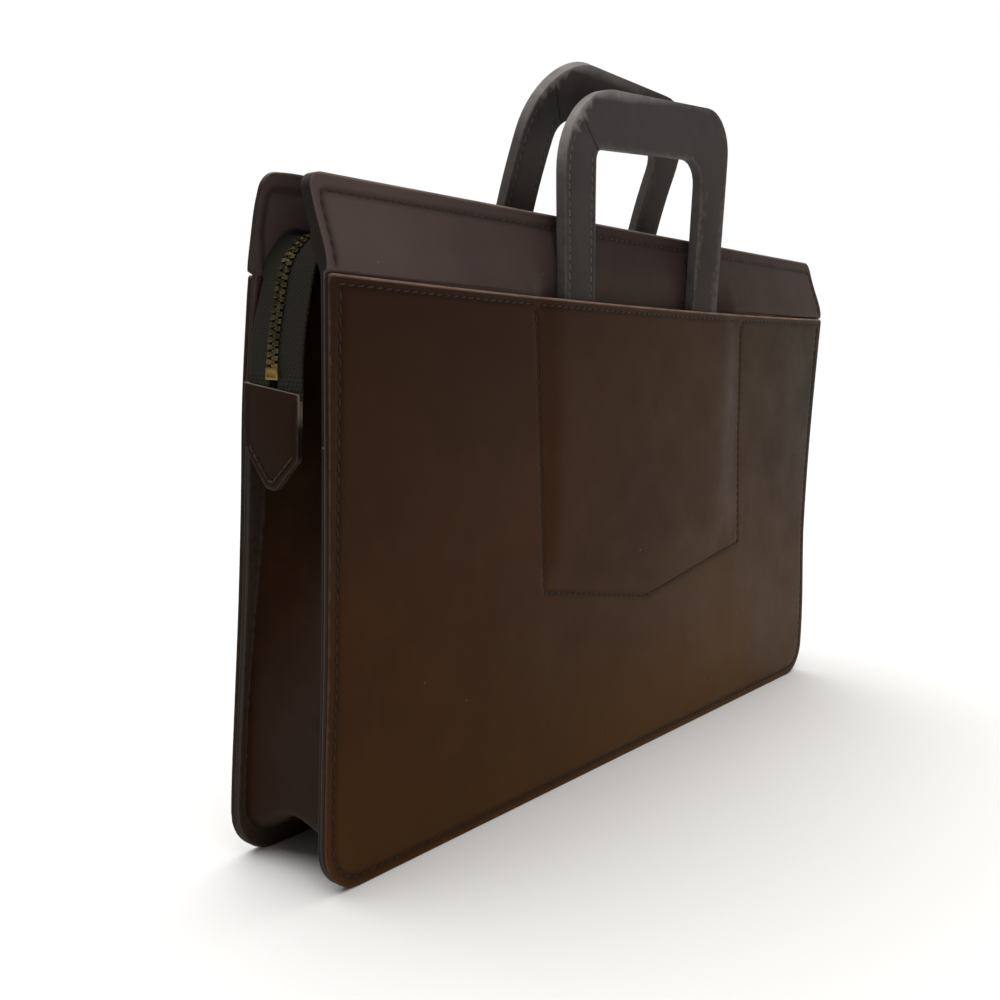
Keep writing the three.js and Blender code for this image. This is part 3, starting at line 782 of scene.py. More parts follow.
def edge_gap(x, z, top, radius_top):
    """How far inside the sheet's outline a place is."""
    gaps = [HALF_WIDTH - abs(x), z, top - z]
    for corner_z, radius, sign in ((0, BOTTOM_CORNER, 1), (top, radius_top, -1)):
        a, b = HALF_WIDTH - abs(x), (z - corner_z) * sign
        if a < radius and b < radius:
            gaps.append(radius - math.hypot(radius - a, radius - b))
    return min(gaps)


def note_edges(sheet, skin, top, radius_top, sag, lines):
    """Marks how near each vertex is to the cut edge, whether it's on the rim, and the seams."""
    ends = segments(lines)

    def flat_z(point):
        return point.z + sag(point.x, point.z)

    def rim(point):
        z = flat_z(point)
        sunk = abs(point.y - skin(point.x, z).y)
        return smooth(sunk, 0.12, 0.4) * (1 - edge_gap(point.x, z, top, radius_top) / 0.4)

    note(sheet, "edge", lambda p: 1 - edge_gap(p.x, flat_z(p), top, radius_top) / 2.0)
    note(sheet, "rim", rim)
    # The seam mark says where shade is painted along the stitch grooves.
    note(sheet, "seam", lambda p: ridge(distance_to(ends, p.x, flat_z(p)), 1.3))
    # The top edge is marked for a painted highlight, mixed with its wear.
    note(sheet, "wear_and_painted_highlight", lambda p: 1 - (top - flat_z(p)) / 1.3)


def mouth_sag(x, z):
    return MOUTH_DIP * belly(x) * smooth(z, CHANNEL_CORNER_HEIGHT, MOUTH_HEIGHT)


def flat(x, z):
    return 0


BAND_LIFT = 2.6
CORNER_DROOP = 1.2
CREASE = 0.42


def back_band_lift(x, z):
    """The back band stands a little higher near its left end than elsewhere; its corner droops."""
    lift = BAND_LIFT * (1 - smooth(x, -HALF_WIDTH, -110))
    lift = lift - CORNER_DROOP * (1 - smooth(x, -HALF_WIDTH, -182))
    return -lift * smooth(z, MOUTH_HEIGHT, CASE_HEIGHT)


def creased_back(x, z):
    """The back panel's face with the small creases that its inner side has by the ends of the zip."""
    near_end = smooth(abs(x), 140, 165) * (1 - smooth(abs(x), 186, 198))
    up_band = smooth(z, 222, 230) * (1 - smooth(z, 241, 248))
    wave = math.sin(z * 0.95 + abs(x) * 0.32) + 0.6 * math.sin(z * 0.45 - abs(x) * 0.21 + 1)
    return back_panel_face(x, z) + CREASE * near_end * up_band * wave


POCKET_TOP_ROWS = (
    196, 200, 204, 207, 209.2, 210.9, 212.2, 213.2, 214.2, 215.2, 216.2, 216.9, MOUTH_HEIGHT,
)
BAND_ROWS = (
    208, 212, 215, MOUTH_HEIGHT, 218, 218.6, 220, 222, 225, 228.5, 232, 235.5, 238.5, 241, 242.7,
    243.9, 245, 246.1, 247.3, 248.6, 249.8, 250.5, CASE_HEIGHT,
)
POCKET_CORNER = 2.6
BACK_POCKET_CORNER = 0.9
# The front band is faced with a second layer. Its outer face steps out over the pocket between
# these heights, and its inner side runs straight past them.
FACED_WALL = 4.8
FACING_RUN = 9
STEP_ZONE = (216.5, 232)


def held_by_edges(x, z):
    return smooth(HALF_WIDTH - abs(x), 3, 24) * smooth(z, 3, 26) * smooth(MOUTH_HEIGHT - z, 2, 22)


def pocket_lines(centre):
    return [side_line(), channel_line(centre), lip_line(centre)]


def pocket_skin(face, out, centre):
    return skin_over(
        face, out, pocket_lines(centre), mouth_sag,
        lambda x, z: held_by_edges(x, z) * (1 - in_channel(x, z, centre)[0]),
    )


def pocket_sheet(name, skin, out, centre, corner):
    rows = row_places(4.2, POCKET_TOP_ROWS, True)
    sheet = leather_sheet(name, skin, out, centre, rows, MOUTH_HEIGHT, corner, 4.4)
    note_edges(sheet, skin, MOUTH_HEIGHT, corner, mouth_sag, pocket_lines(centre))
    return sheet


def panel_sheet(name, skin, out, centre, sag, face, faced_wall):
    """A panel; its inner side has no step at the mouth, and its band may be faced."""
    rows = row_places(9, BAND_ROWS, False)
    sheet = leather_sheet(name, skin, out, centre, rows, CASE_HEIGHT, TOP_CORNER, 5.5)
    low, high = STEP_ZONE

    def inner(x, y, z):
        level_z = z + sag(x, z)
        if level_z < low or abs(y - face(x, level_z)) < LEATHER_WALL * 0.6:
            return x, y, z
        plain = face(x, level_z)
        if level_z < high:
            plain = lerp(face(x, low), face(x, high), smooth(level_z, low, high))
        wall = lerp(LEATHER_WALL, faced_wall, smooth(level_z, low, low + FACING_RUN))
        return clamp(x, -HALF_WIDTH, HALF_WIDTH), plain - out * wall, z

    lay(sheet, inner)
    note_edges(sheet, skin, CASE_HEIGHT, TOP_CORNER, sag, [band_line()])
    return sheet


front_pocket_skin = pocket_skin(front_pocket_face, -1, FRONT_HANDLE[0])
back_pocket_skin = pocket_skin(back_pocket_face, 1, BACK_HANDLE[0])
front_panel_skin = skin_over(front_panel_face, -1, [band_line()], flat, flat)
back_panel_skin = skin_over(back_panel_face, 1, [band_line()], back_band_lift, flat)
front_pocket = pocket_sheet(
    "front_pocket_leather", front_pocket_skin, -1, FRONT_HANDLE[0], POCKET_CORNER)
back_pocket = pocket_sheet(
    "back_pocket_leather", back_pocket_skin, 1, BACK_HANDLE[0], BACK_POCKET_CORNER)
front_panel = panel_sheet(
    "front_panel_leather", front_panel_skin, -1, FRONT_HANDLE[0], flat, front_panel_face, FACED_WALL)
back_panel = panel_sheet(
    "back_panel_leather", back_panel_skin, 1, BACK_HANDLE[0], back_band_lift, creased_back, LEATHER_WALL)
for sheet, slot, stood_for in (
    (front_pocket, "side_leather", "front_pocket"), (back_pocket, "side_leather", "back_pocket"),
    (front_panel, "band_leather", "front_panel"), (back_panel, "band_leather", "back_panel"),
):
    smooth_skin(sheet)
    ready(sheet, "case", (stood_for,))

# %% [markdown]
# ## Gusset
#
# The strip between the two sides is sewn flat to each panel and folds inwards between them, more
# at the top of each end than at the bottom, where it arches up under the case. Cloth simulation
# could find such folds, but stiff leather that has been folded for years keeps them, so a grid is
# bent over eight guide lines that run round the case.

# %% Gusset
GUSSET_TOP = 217
GUSSET_EDGE = 1
FOLD_BOTTOM = 22
FOLD_SIDE_TOP = 17
FOLD_SIDE_LOW = 3
# place, share of the way to the back, shares of the folds' depths under the case, low and high at
# the ends, and share of the corner's radius
GUSSET_GUIDES = [
    (0, 0, 0, 0, 0, 0.94), (1, 0, 0.66, 0.7, 0.4, 0.5), (2, 0.13, 0.8, 0.85, 0.75, 0.4),
    (3, 0.42, 1, 1, 1, 0.2), (4, 0.64, 0.74, 1, 1, 0.4), (5, 0.87, 0.44, 0.85, 0.75, 0.6),
    (6, 1, 0.32, 0.7, 0.4, 0.7), (7, 1, 0, 0, 0, 0.94),
]
GUSSET_ACROSS = [0, 0.2, 0.45, 0.7, 0.88, 1, 1.15, 1.4, 1.7, 2, 2.3, 2.6, 2.85, 3, 3.15, 3.4, 3.7, 4,
                 4.3, 4.6, 5, 5.3, 5.6, 5.85, 6, 6.12, 6.3, 6.55, 6.8, 7]


def gusset_path(guide, steps):
    """Down the left end, round the corner, along the bottom and up the right end."""
    _, _, bottom_share, low_share, top_share, corner = guide

    def side_at(z):
        share = smooth(z, MOUTH_HEIGHT * 0.25, MOUTH_HEIGHT * 0.8)
        return GUSSET_EDGE + lerp(low_share * FOLD_SIDE_LOW, top_share * FOLD_SIDE_TOP, share)

    bottom = GUSSET_EDGE + bottom_share * FOLD_BOTTOM
    low = side_at(0)
    radius = corner * BOTTOM_CORNER
    down, round_, along = steps
    left = []
    for k in range(down):
        z = lerp(GUSSET_TOP, bottom + radius, k / down)
        left.append((-HALF_WIDTH + side_at(z), z))
    for k in range(round_ + 1):
        angle = k / round_ * math.pi / 2
        left.append((
            -HALF_WIDTH + low + radius * (1 - math.cos(angle)), bottom + radius * (1 - math.sin(angle)),
        ))
    turn = left[-1][0]
    left += [(lerp(turn, 0, k / along), bottom) for k in range(1, along)]
    return left + [(0, bottom)] + [(-x, z) for x, z in reversed(left)]


def gusset_guide(place):
    return (place, *(along_curve(GUSSET_GUIDES, place, column) for column in range(1, 6)))


gusset_paths = [gusset_path(gusset_guide(place), (42, 10, 26)) for place in GUSSET_ACROSS]
gusset_along = len(gusset_paths[0]) - 1
gusset_columns = len(GUSSET_ACROSS) - 1

gusset = fresh(
    "gusset_leather", bpy.ops.mesh.primitive_grid_add,
    x_subdivisions=gusset_columns, y_subdivisions=gusset_along)


def gusset_place(gx, gy, _):
    m = gusset_columns - round((gx * MM + 0.5) * gusset_columns)
    k = gusset_along - round((gy * MM + 0.5) * gusset_along)
    x, z = gusset_paths[m][k]
    share = clamp(along_curve(GUSSET_GUIDES, GUSSET_ACROSS[m], 1))
    return x, lerp(front_panel_face(x, z) + LAYERS, back_panel_face(x, z) - LAYERS, share), z


lay(gusset, gusset_place)
thicken(gusset, GUSSET_WALL, rim=0.35)
note(gusset, "edge", lambda p: 1 - min(
    p.y - front_panel_face(p.x, p.z) - LAYERS, back_panel_face(p.x, p.z) - LAYERS - p.y) / 1.2)
smooth_skin(gusset, 50)
ready(gusset, "case", ("gusset",))

# %% [markdown]
# ## Zip
#
# The zip runs between the bands, comes out over each end and hangs down there, where a leather
# tab closes its tape. Its path is one smooth curve. The tape is a grid laid along that curve, and
# one tooth is modelled and copied.

# %% Zip path
# how far out, how far down and how free of the band the tape is, along one end
ZIP_END = [
    (0, 0, 0), (0.16, 0.003, 0.25), (0.34, 0.03, 0.6), (0.51, 0.09, 0.9), (0.665, 0.17, 1),
    (0.76, 0.26, 1), (0.82, 0.36, 1), (0.87, 0.46, 1), (0.92, 0.57, 1), (0.97, 0.7, 1),
    (1, 0.85, 1), (1, 1, 1),
]
END_REACH = HALF_WIDTH + END_OUT - ZIP_START


def zip_stations(step):
    """Places down the zip every step millimetres, each with its outward direction and freedom."""
    end = [(k, out, down, free) for k, (out, down, free) in enumerate(ZIP_END)]
    fine = [k / 12 * (len(end) - 1) / 11 for k in range(133)]
    left = [
        (
            -ZIP_START - along_curve(end, k, 1) * END_REACH,
            ZIP_HEIGHT - clamp(along_curve(end, k, 2)) * END_DROP,
            clamp(along_curve(end, k, 3)),
        )
        for k in fine
    ][::-1]
    middle = [(-ZIP_START * (1 - k / 60), ZIP_HEIGHT, 0) for k in range(1, 61)]
    half = left + middle
    line = np.array(half + [(-x, z, free) for x, z, free in reversed(half[:-1])])
    run = np.concatenate(([0], np.cumsum(np.hypot(np.diff(line[:, 0]), np.diff(line[:, 1])))))
    count = int(run[-1] / step)
    places = (run[-1] - count * step) / 2 + np.arange(count + 1) * step
    columns = [np.interp(places, run, line[:, c]) for c in range(3)]
    stations = []
    for k in range(count + 1):
        a, b = max(0, k - 1), min(count, k + 1)
        tangent = Vector((columns[0][b] - columns[0][a], columns[1][b] - columns[1][a])).normalized()
        stations.append({
            "x": columns[0][k], "z": columns[1][k], "free": columns[2][k],
            "lift": Vector((-tangent.y, tangent.x)), "run": places[k],
        })
    return stations


def zip_point(station, y, lift):
    return station["x"] + station["lift"].x * lift, y, station["z"] + station["lift"].y * lift


print("zip runs", round(zip_stations(3)[-1]["run"]), "mm")

# %% Tapes
TAPE_THICKNESS = 1
TAPE_TUCK = 5
TAPE_HALF = {-1: TAPE_WIDTH / 2, 1: TAPE_WIDTH / 2 - 2}
TAPE_ACROSS = [0, 0.08, 0.2, 0.35, 0.5, 0.65, 0.8, 0.92, 1]
TOOTH_GRIP = 2.1


def tape_columns(station, side):
    """Sewn, the tape rises from the teeth to the band. Free, it lies flat."""
    near = ZIP_Y + side * TOOTH_GRIP
    x = clamp(station["x"], -HALF_WIDTH, HALF_WIDTH)

    def band_at(rise):
        z = ZIP_HEIGHT + rise
        return (front_panel_face if side < 0 else back_panel_face)(x, z) - side * LAYERS

    room = abs(band_at(station["z"] - ZIP_HEIGHT) - ZIP_Y) - GUSSET_WALL - TAPE_THICKNESS
    outside = smooth(abs(station["x"]), HALF_WIDTH + TAPE_THICKNESS, HALF_WIDTH + END_OUT)
    free_edge = side * lerp(min(TAPE_HALF[side], room), TAPE_HALF[side], outside)
    sewn = [
        (0, near, 0), (0.35, lerp(near, band_at(TAPE_RISE), 0.6), TAPE_RISE * 0.15),
        (0.7, band_at(TAPE_RISE), TAPE_RISE), (1, band_at(TAPE_RISE + TAPE_SEAM), TAPE_RISE + TAPE_SEAM),
    ]
    points = []
    for share in TAPE_ACROSS:
        y = along_curve(sewn, share, 1)
        rise = along_curve(sewn, share, 2)
        flat_y = lerp(near, ZIP_Y + free_edge, share)
        y = lerp(y, flat_y, station["free"])
        points.append(zip_point(station, y, lerp(rise, 0, station["free"]) - TAPE_THICKNESS / 2))
    return points


def zip_tape(name, side):
    """The tape, whose two ends are tucked between the leaves of the end tabs."""
    stations = zip_stations(4)
    for station in (stations[0], stations[-1]):
        station["z"] -= TAPE_TUCK
    nx, ny = len(TAPE_ACROSS) - 1, len(stations) - 1
    tape = fresh(name, bpy.ops.mesh.primitive_grid_add, x_subdivisions=nx, y_subdivisions=ny, calc_uvs=True)
    lines = [tape_columns(station, side) for station in stations]

    def place(gx, gy, _):
        i, k = round((gx * MM + 0.5) * nx), round((gy * MM + 0.5) * ny)
        return lines[k][nx - i if side < 0 else i]

    for loop in tape.data.uv_layers.active.data:
        loop.uv = (loop.uv.x * TAPE_WIDTH / 2, loop.uv.y * stations[-1]["run"])
    lay(tape, place)
    thicken(tape, TAPE_THICKNESS, rim=0.2, rim_steps=1)
    smooth_skin(tape, 60)
    return tape


tape_front = ready(zip_tape("zip_tape_front_cloth", -1), "case", ("zip_tape_front",))
tape_back = ready(zip_tape("zip_tape_back_cloth", 1), "case", ("zip_tape_back",))

# %% [markdown]
# ## Teeth
#
# A metal tooth is a small block that grips the tape's edge, with a narrower head that locks
# between the heads from the other side. A cube is squeezed, bevelled and its inner face drawn out
# into the head. The two rows are set half a pitch apart.

# %% One tooth
CHAIN_SEEN = 5.8
TOOTH_PITCH = 2.5
TOOTH_SIZE = (2.2, 1.5, CHAIN_THICKNESS)


def block(name, size, place=(0, 0, 0)):
    return fresh(
        name, bpy.ops.mesh.primitive_cube_add, location=[v * MM for v in place], scale=[v * MM for v in size])


def draw_out(piece, test, rim, shift, share=(1, 1, 1)):
    """Insets faces, moves the middle out or in, and squeezes its end."""
    pick(piece, "FACE", test)
    bpy.ops.mesh.inset(thickness=rim * MM, depth=0)
    bpy.ops.mesh.extrude_region_move(TRANSFORM_OT_translate={"value": (shift * MM, 0, 0)})
    bpy.ops.transform.resize(value=share)
    done()


def one_tooth():
    """A tooth along x, its head towards x 0, the zip's run along y and its thickness along z."""
    middle = CHAIN_SEEN / 2 - TOOTH_SIZE[0] / 2
    tooth = block("tooth", TOOTH_SIZE, (middle, 0, 0))
    inner = (CHAIN_SEEN / 2 - TOOTH_SIZE[0]) * MM
    draw_out(tooth, lambda p: p.x < inner + 1e-5, 0.22, -1.5, (1, 0.95, 0.9))
    round_rim(tooth, 0.22, 1, 50)
    return tooth


def copies(name, model, places):
    """Joins copies of a model, one for each matrix, into one piece."""
    shape = bmesh.new()
    for place in places:
        copy = model.data.copy()
        copy.transform(place)
        shape.from_mesh(copy)
        bpy.data.meshes.remove(copy)
    mesh = bpy.data.meshes.new(name)
    shape.to_mesh(mesh)
    shape.free()
    piece = bpy.data.objects.new(name, mesh)
    bpy.context.scene.collection.objects.link(piece)
    return piece


def frame_at(point, across, along, out):
    """A matrix that sets x across, y along and z out of the place where a copy goes."""
    return Matrix.Translation(Vector(point) * MM) @ Matrix((across, along, out)).transposed().to_4x4()


STOP_SIZE = (3.6, 6.2, 4.1)
STOP_LOW = TAPE_END + 2.8
LAST_TOOTH = STOP_LOW + STOP_SIZE[2] + 0.6
tooth = one_tooth()
tooth_places = []
for k, station in enumerate(zip_stations(TOOTH_PITCH / 2)):
    if abs(station["x"]) > HALF_WIDTH and station["z"] < LAST_TOOTH:
        continue
    side = 1 if k % 2 else -1
    out = Vector((station["lift"].x, 0, station["lift"].y))
    across = Vector((0, side, 0))
    tooth_places.append(frame_at(zip_point(station, ZIP_Y, 0), across, -across.cross(out), out))
teeth = copies("zip_teeth", tooth, tooth_places)
bpy.data.objects.remove(tooth)
smooth_skin(teeth, 30)
ready(teeth, "case", ("zip_chain",))
print("teeth:", len(tooth_places))

# %% [markdown]
# ## Bottom stop and slider
#
# The visible end of the zip is closed by a small brass box that is pinched over the last teeth.
# The slider sits at the far end, closed against its tab, with a flat pull that hangs from a loop.
# Both start as cubes, because that is what a die presses.

# %% Bottom stop
HANG_X = HALF_WIDTH + END_OUT


def round_off(piece, rim, steps):
    round_rim(piece, rim, steps, 40)
    smooth_skin(piece, 35)


stop = block("zip_bottom_box", STOP_SIZE, (-HANG_X, ZIP_Y - 0.5, STOP_LOW + STOP_SIZE[2] / 2))
draw_out(stop, lambda p: p.x < (-HANG_X - STOP_SIZE[0] / 2) * MM + 1e-5, 0.9, 0.4)
round_off(stop, 0.45, 3)
ready(stop, "case", ("zip_bottom_stop",))

# %% Slider with its pull
SLIDER_SIZE = (1.7, 8.6, 12.4)
slider_x = HANG_X + 1.9
slider_low = TAPE_END + 0.3
slider = block("zip_slider_brass", SLIDER_SIZE, (slider_x + SLIDER_SIZE[0] / 2, ZIP_Y, slider_low + 6.6))
squeeze(slider, "VERT", lambda p: p.z < (slider_low + 1) * MM, (1, 0.72, 1))
draw_out(slider, lambda p: p.x > (slider_x + SLIDER_SIZE[0]) * MM - 1e-5, 0.9, 0.3, (1, 0.86, 0.92))
round_off(slider, 0.35, 2)

loop = block("slider_loop", (1.1, 2.2, 6.4), (slider_x + 2.5, ZIP_Y, slider_low + 6.2))
squeeze(loop, "VERT", lambda p: p.x > (slider_x + 2.5) * MM, (1, 0.8, 0.6))
round_off(loop, 0.3, 2)


def pull_tab():
    """A flat drop-shaped pull, drawn in the upright plane and pierced through its middle, leaving a narrow
    rim.
    """
    wide, long = 6.2, 21
    pull = fresh("zip_pull", bpy.ops.mesh.primitive_plane_add, rotation=(0, math.pi / 2, 0))
    lay(pull, lambda x, y, z: (
        slider_x + 2.45, ZIP_Y + y * MM * wide, slider_low - 4.4 - z * MM * long))
    squeeze(pull, "VERT", lambda p: p.z < (slider_low - 6) * MM, (1, 1.3, 1))
    round_points(pull, 2.6, 6, lambda p: p.z < (slider_low - 6) * MM)
    round_points(pull, 2.2, 6, lambda p: p.z > (slider_low + 4) * MM)
    pick(pull, "FACE", everywhere)
    bpy.ops.mesh.inset(thickness=1.7 * MM, depth=0)
    bpy.ops.mesh.delete(type="FACE")
    done()
    modify(pull, "SOLIDIFY", thickness=0.9 * MM, offset=0)
    round_off(pull, 0.25, 2)
    return pull


join(slider, loop, pull_tab())
ready(slider, "case", ("zip_slider",))

# %% [markdown]
# ## End tabs
#
# Each end of the tape is sewn between two pointed pieces of leather. One is cut from a plane: the
# lower edge is drawn down and narrowed to the blunt point, a line is pressed inside the edge, and
# the flat shape is given its wall and a slight bow. Its twin lies behind it.

# %% End tabs
TAB_WIDTH = 28.5
TAB_HEIGHT = 35
TAB_POINT = 13
TAB_TIP = 5
TAB_THICKNESS = 2.0
TAB_STITCH = 2.9
TAB_BOW = 0.35
TAB_SKEW = 0.115
TAB_BACK = 0.8
TAB_LIP = 0.5


def tab_outline(inset):
    """The pointed shape in the plane of y and z, from its top left corner, an inset inside."""
    half = TAB_WIDTH / 2 - inset
    slope = math.atan2(TAB_POINT, (TAB_WIDTH - TAB_TIP) / 2)
    drop = inset * math.tan(slope / 2)
    tip = TAB_TIP / 2 - drop
    left = [(-half, -inset), (-half, -(TAB_HEIGHT - TAB_POINT) + drop * 0.3), (-tip, -TAB_HEIGHT + inset)]
    return left + [(-u, s) for u, s in reversed(left)]


def tab_bow(y, z):
    return TAB_BOW * math.cos(math.pi * y / TAB_WIDTH) * math.sin(math.pi * clamp(-z / TAB_HEIGHT))


def tab_point(side, u, s):
    """Where a place of the flat tab hangs; it hangs a little askew."""
    return ZIP_Y + TAB_BACK + side * u, TAPE_END + s + side * u * TAB_SKEW


def tab_leaf(name, side, layer):
    """One leaf of a tab; layer 0 is the outer one and 1 lies against the tape."""
    straight = TAB_HEIGHT - TAB_POINT
    leaf = fresh(name, bpy.ops.mesh.primitive_plane_add)
    lay(leaf, lambda x, y, z: (x * MM * TAB_WIDTH, (y * MM - 0.5) * straight, 0))
    pick(leaf, "EDGE", lambda p: p.y < (0.5 - straight) * MM)
    bpy.ops.mesh.extrude_region_move(TRANSFORM_OT_translate={"value": (0, -TAB_POINT * MM, 0)})
    bpy.ops.transform.resize(value=(TAB_TIP / TAB_WIDTH, 1, 1))
    done()
    round_points(leaf, 1.2, 3, lambda p: (
        abs(p.y + straight * MM) < 1e-5 or p.y < -(TAB_HEIGHT - 0.1) * MM))
    for s in (-k * TAB_HEIGHT / 16 for k in range(1, 16)):
        cut(leaf, (0, s, 0), (0, 1, 0))
    for u in (k * TAB_WIDTH / 12 for k in range(-5, 6)):
        cut(leaf, (u, 0, 0), (1, 0, 0))
    cut(leaf, (0, -TAB_LIP, 0), (0, 1, 0))
    for u in (TAB_WIDTH / 2 - TAB_LIP, TAB_LIP - TAB_WIDTH / 2):
        cut(leaf, (u, 0, 0), (1, 0, 0))
    modify(leaf, "SOLIDIFY", thickness=(TAB_THICKNESS / 2 - 0.08) * MM, offset=-1)
    round_rim(leaf, 0.4, 2, 50)
    outline = segments([tab_outline(0)])
    note(leaf, "edge", lambda p: 1 - distance_to(outline, p.x, p.y) / 1.6)
    seam = segments([tab_outline(TAB_STITCH)])
    # The seam mark says where shade is painted along the stitch groove.
    note(leaf, "seam", lambda p: ridge(distance_to(seam, p.x, p.y), 1.0))
    # The top edge and the upper front edge are marked for a painted highlight, mixed with wear.
    note(leaf, "wear_and_painted_highlight", lambda p: max(
        1 + p.y / 0.45, (TAB_LIP - TAB_WIDTH / 2 - side * p.x) / TAB_LIP * smooth(p.y, -14, -3)))
    note(leaf, "rim", lambda p: (abs(p.x) - TAB_WIDTH / 2 + 0.2) / 0.2 * (1 - smooth(p.y, -14, -3)))

    def place(u, s, w):
        shaped = tab_bow(u, s) - 0.22 * ridge(distance_to(seam, u, s), 0.7)
        depth = TAB_THICKNESS / 2 * (1 - layer) + w + shaped * (1 - layer)
        return side * (HANG_X + depth), *tab_point(side, u, s)

    lay(leaf, place)
    return leaf


def end_tab(name, side, node):
    outer = tab_leaf(name, side, 0)
    join(outer, tab_leaf(name + "_lining", side, 1))
    smooth_skin(outer, 50)
    return ready(outer, "case", (node,))


tab_left = end_tab("end_tab_left_leather", -1, "zip_end_tab_left")
tab_right = end_tab("end_tab_right_leather", 1, "zip_end_tab_right")

# %% [markdown]
# ## Handles
#
# Each handle is a stiff D frame, and its foot bar never leaves the pocket. Two planes with rounded
# corners, one for the outside and one for the window, are bridged into a frame. It is cut across
# every few millimetres so that it can bend, gets its wall, and its edges are rounded as a worn
# handle's are. On the real one the leather of the left leg meets the grip's in a slanted seam.

# %% Handle frame
MITRE_LOW = (-44.6, 109.0)
MITRE_TOP = (-57.5, 123.6)
OUTER_STITCH = 3.5
WINDOW_STITCH = 2.9
SEAM_DEPTH = 0.4
HANDLE_RIM = 1.7
CROWN_RADIUS = 35
FLEX_STEP = 5
HALF = HANDLE_WIDTH / 2
WINDOW_TOP = HANDLE_LENGTH - GRIP_HEIGHT
# outside and window: left, right, low, high, radius of the top left, top right and bottom corners
FRONT_FORM = (
    (-HALF, HALF, 0, HANDLE_LENGTH, CROWN_RADIUS, 22, 9),
    (-HALF + LEG_WIDTH, HALF - LEG_WIDTH - 3, FOOT_HEIGHT, WINDOW_TOP, 5, 12, 11),
)
BACK_FORM = (
    (-HALF, HALF, 0, HANDLE_LENGTH, CROWN_RADIUS, CROWN_RADIUS, 9),
    (-HALF + LEG_WIDTH, HALF - LEG_WIDTH, FOOT_HEIGHT, WINDOW_TOP, 9, 11, 11),
)


def rounded_outline(left, right_side, low, high, left_radius, right_radius, bottom_radius):
    points = [
        *arc((left + left_radius, high - left_radius), left_radius, 180, 90),
        *arc((right_side - right_radius, high - right_radius), right_radius, 90, 0),
        *arc((right_side - bottom_radius, low + bottom_radius), bottom_radius, 0, -90),
        *arc((left + bottom_radius, low + bottom_radius), bottom_radius, 270, 180),
    ]
    return points + points[:1]


def rounded_plate(left, right_side, low, high, left_radius, right_radius, bottom_radius):
    plate = fresh("plate", bpy.ops.mesh.primitive_plane_add)
    lay(plate, lambda x, y, z: (lerp(left, right_side, x * MM + 0.5), lerp(low, high, y * MM + 0.5), 0))
    for radius, test in (
        (right_radius, lambda p: p.y > high * MM - 1e-5 and p.x > 0),
        (left_radius, lambda p: p.y > high * MM - 1e-5 and p.x < (left + 1) * MM),
        (bottom_radius, lambda p: p.y < low * MM + 1e-5),
    ):
        round_points(plate, radius, max(6, round(radius / 2.5)), test)
    return plate


def pulled(u, s):
    """The front handle is drawn out of square by use: wider and higher at the top right."""
    above = s - (HANDLE_LENGTH - FRONT_EXPOSED)
    wider = lerp(-0.028, 0.032, smooth(above, -15, 75))
    return u * (1 + wider), s + (2.2 + 0.09 * u) * smooth(s, 55, 105)


def square(u, s):
    return u, s


def leg_seams():
    """The two stitch rows of the left leg: the outer one follows the corner up to the slant."""
    turn = HANDLE_LENGTH - CROWN_RADIUS
    outer = [(-HALF + OUTER_STITCH, FOOT_HEIGHT), (-HALF + OUTER_STITCH, turn)]
    outer += arc((-HALF + CROWN_RADIUS, turn), CROWN_RADIUS - OUTER_STITCH, 180, 138, 6)
    window = -HALF + LEG_WIDTH - WINDOW_STITCH
    return [outer, [(window, FOOT_HEIGHT + 4), (window, WINDOW_TOP - 3)]]


MITRE_ENDS = segments([[MITRE_LOW, MITRE_TOP]])
LEG_ENDS = segments(leg_seams())


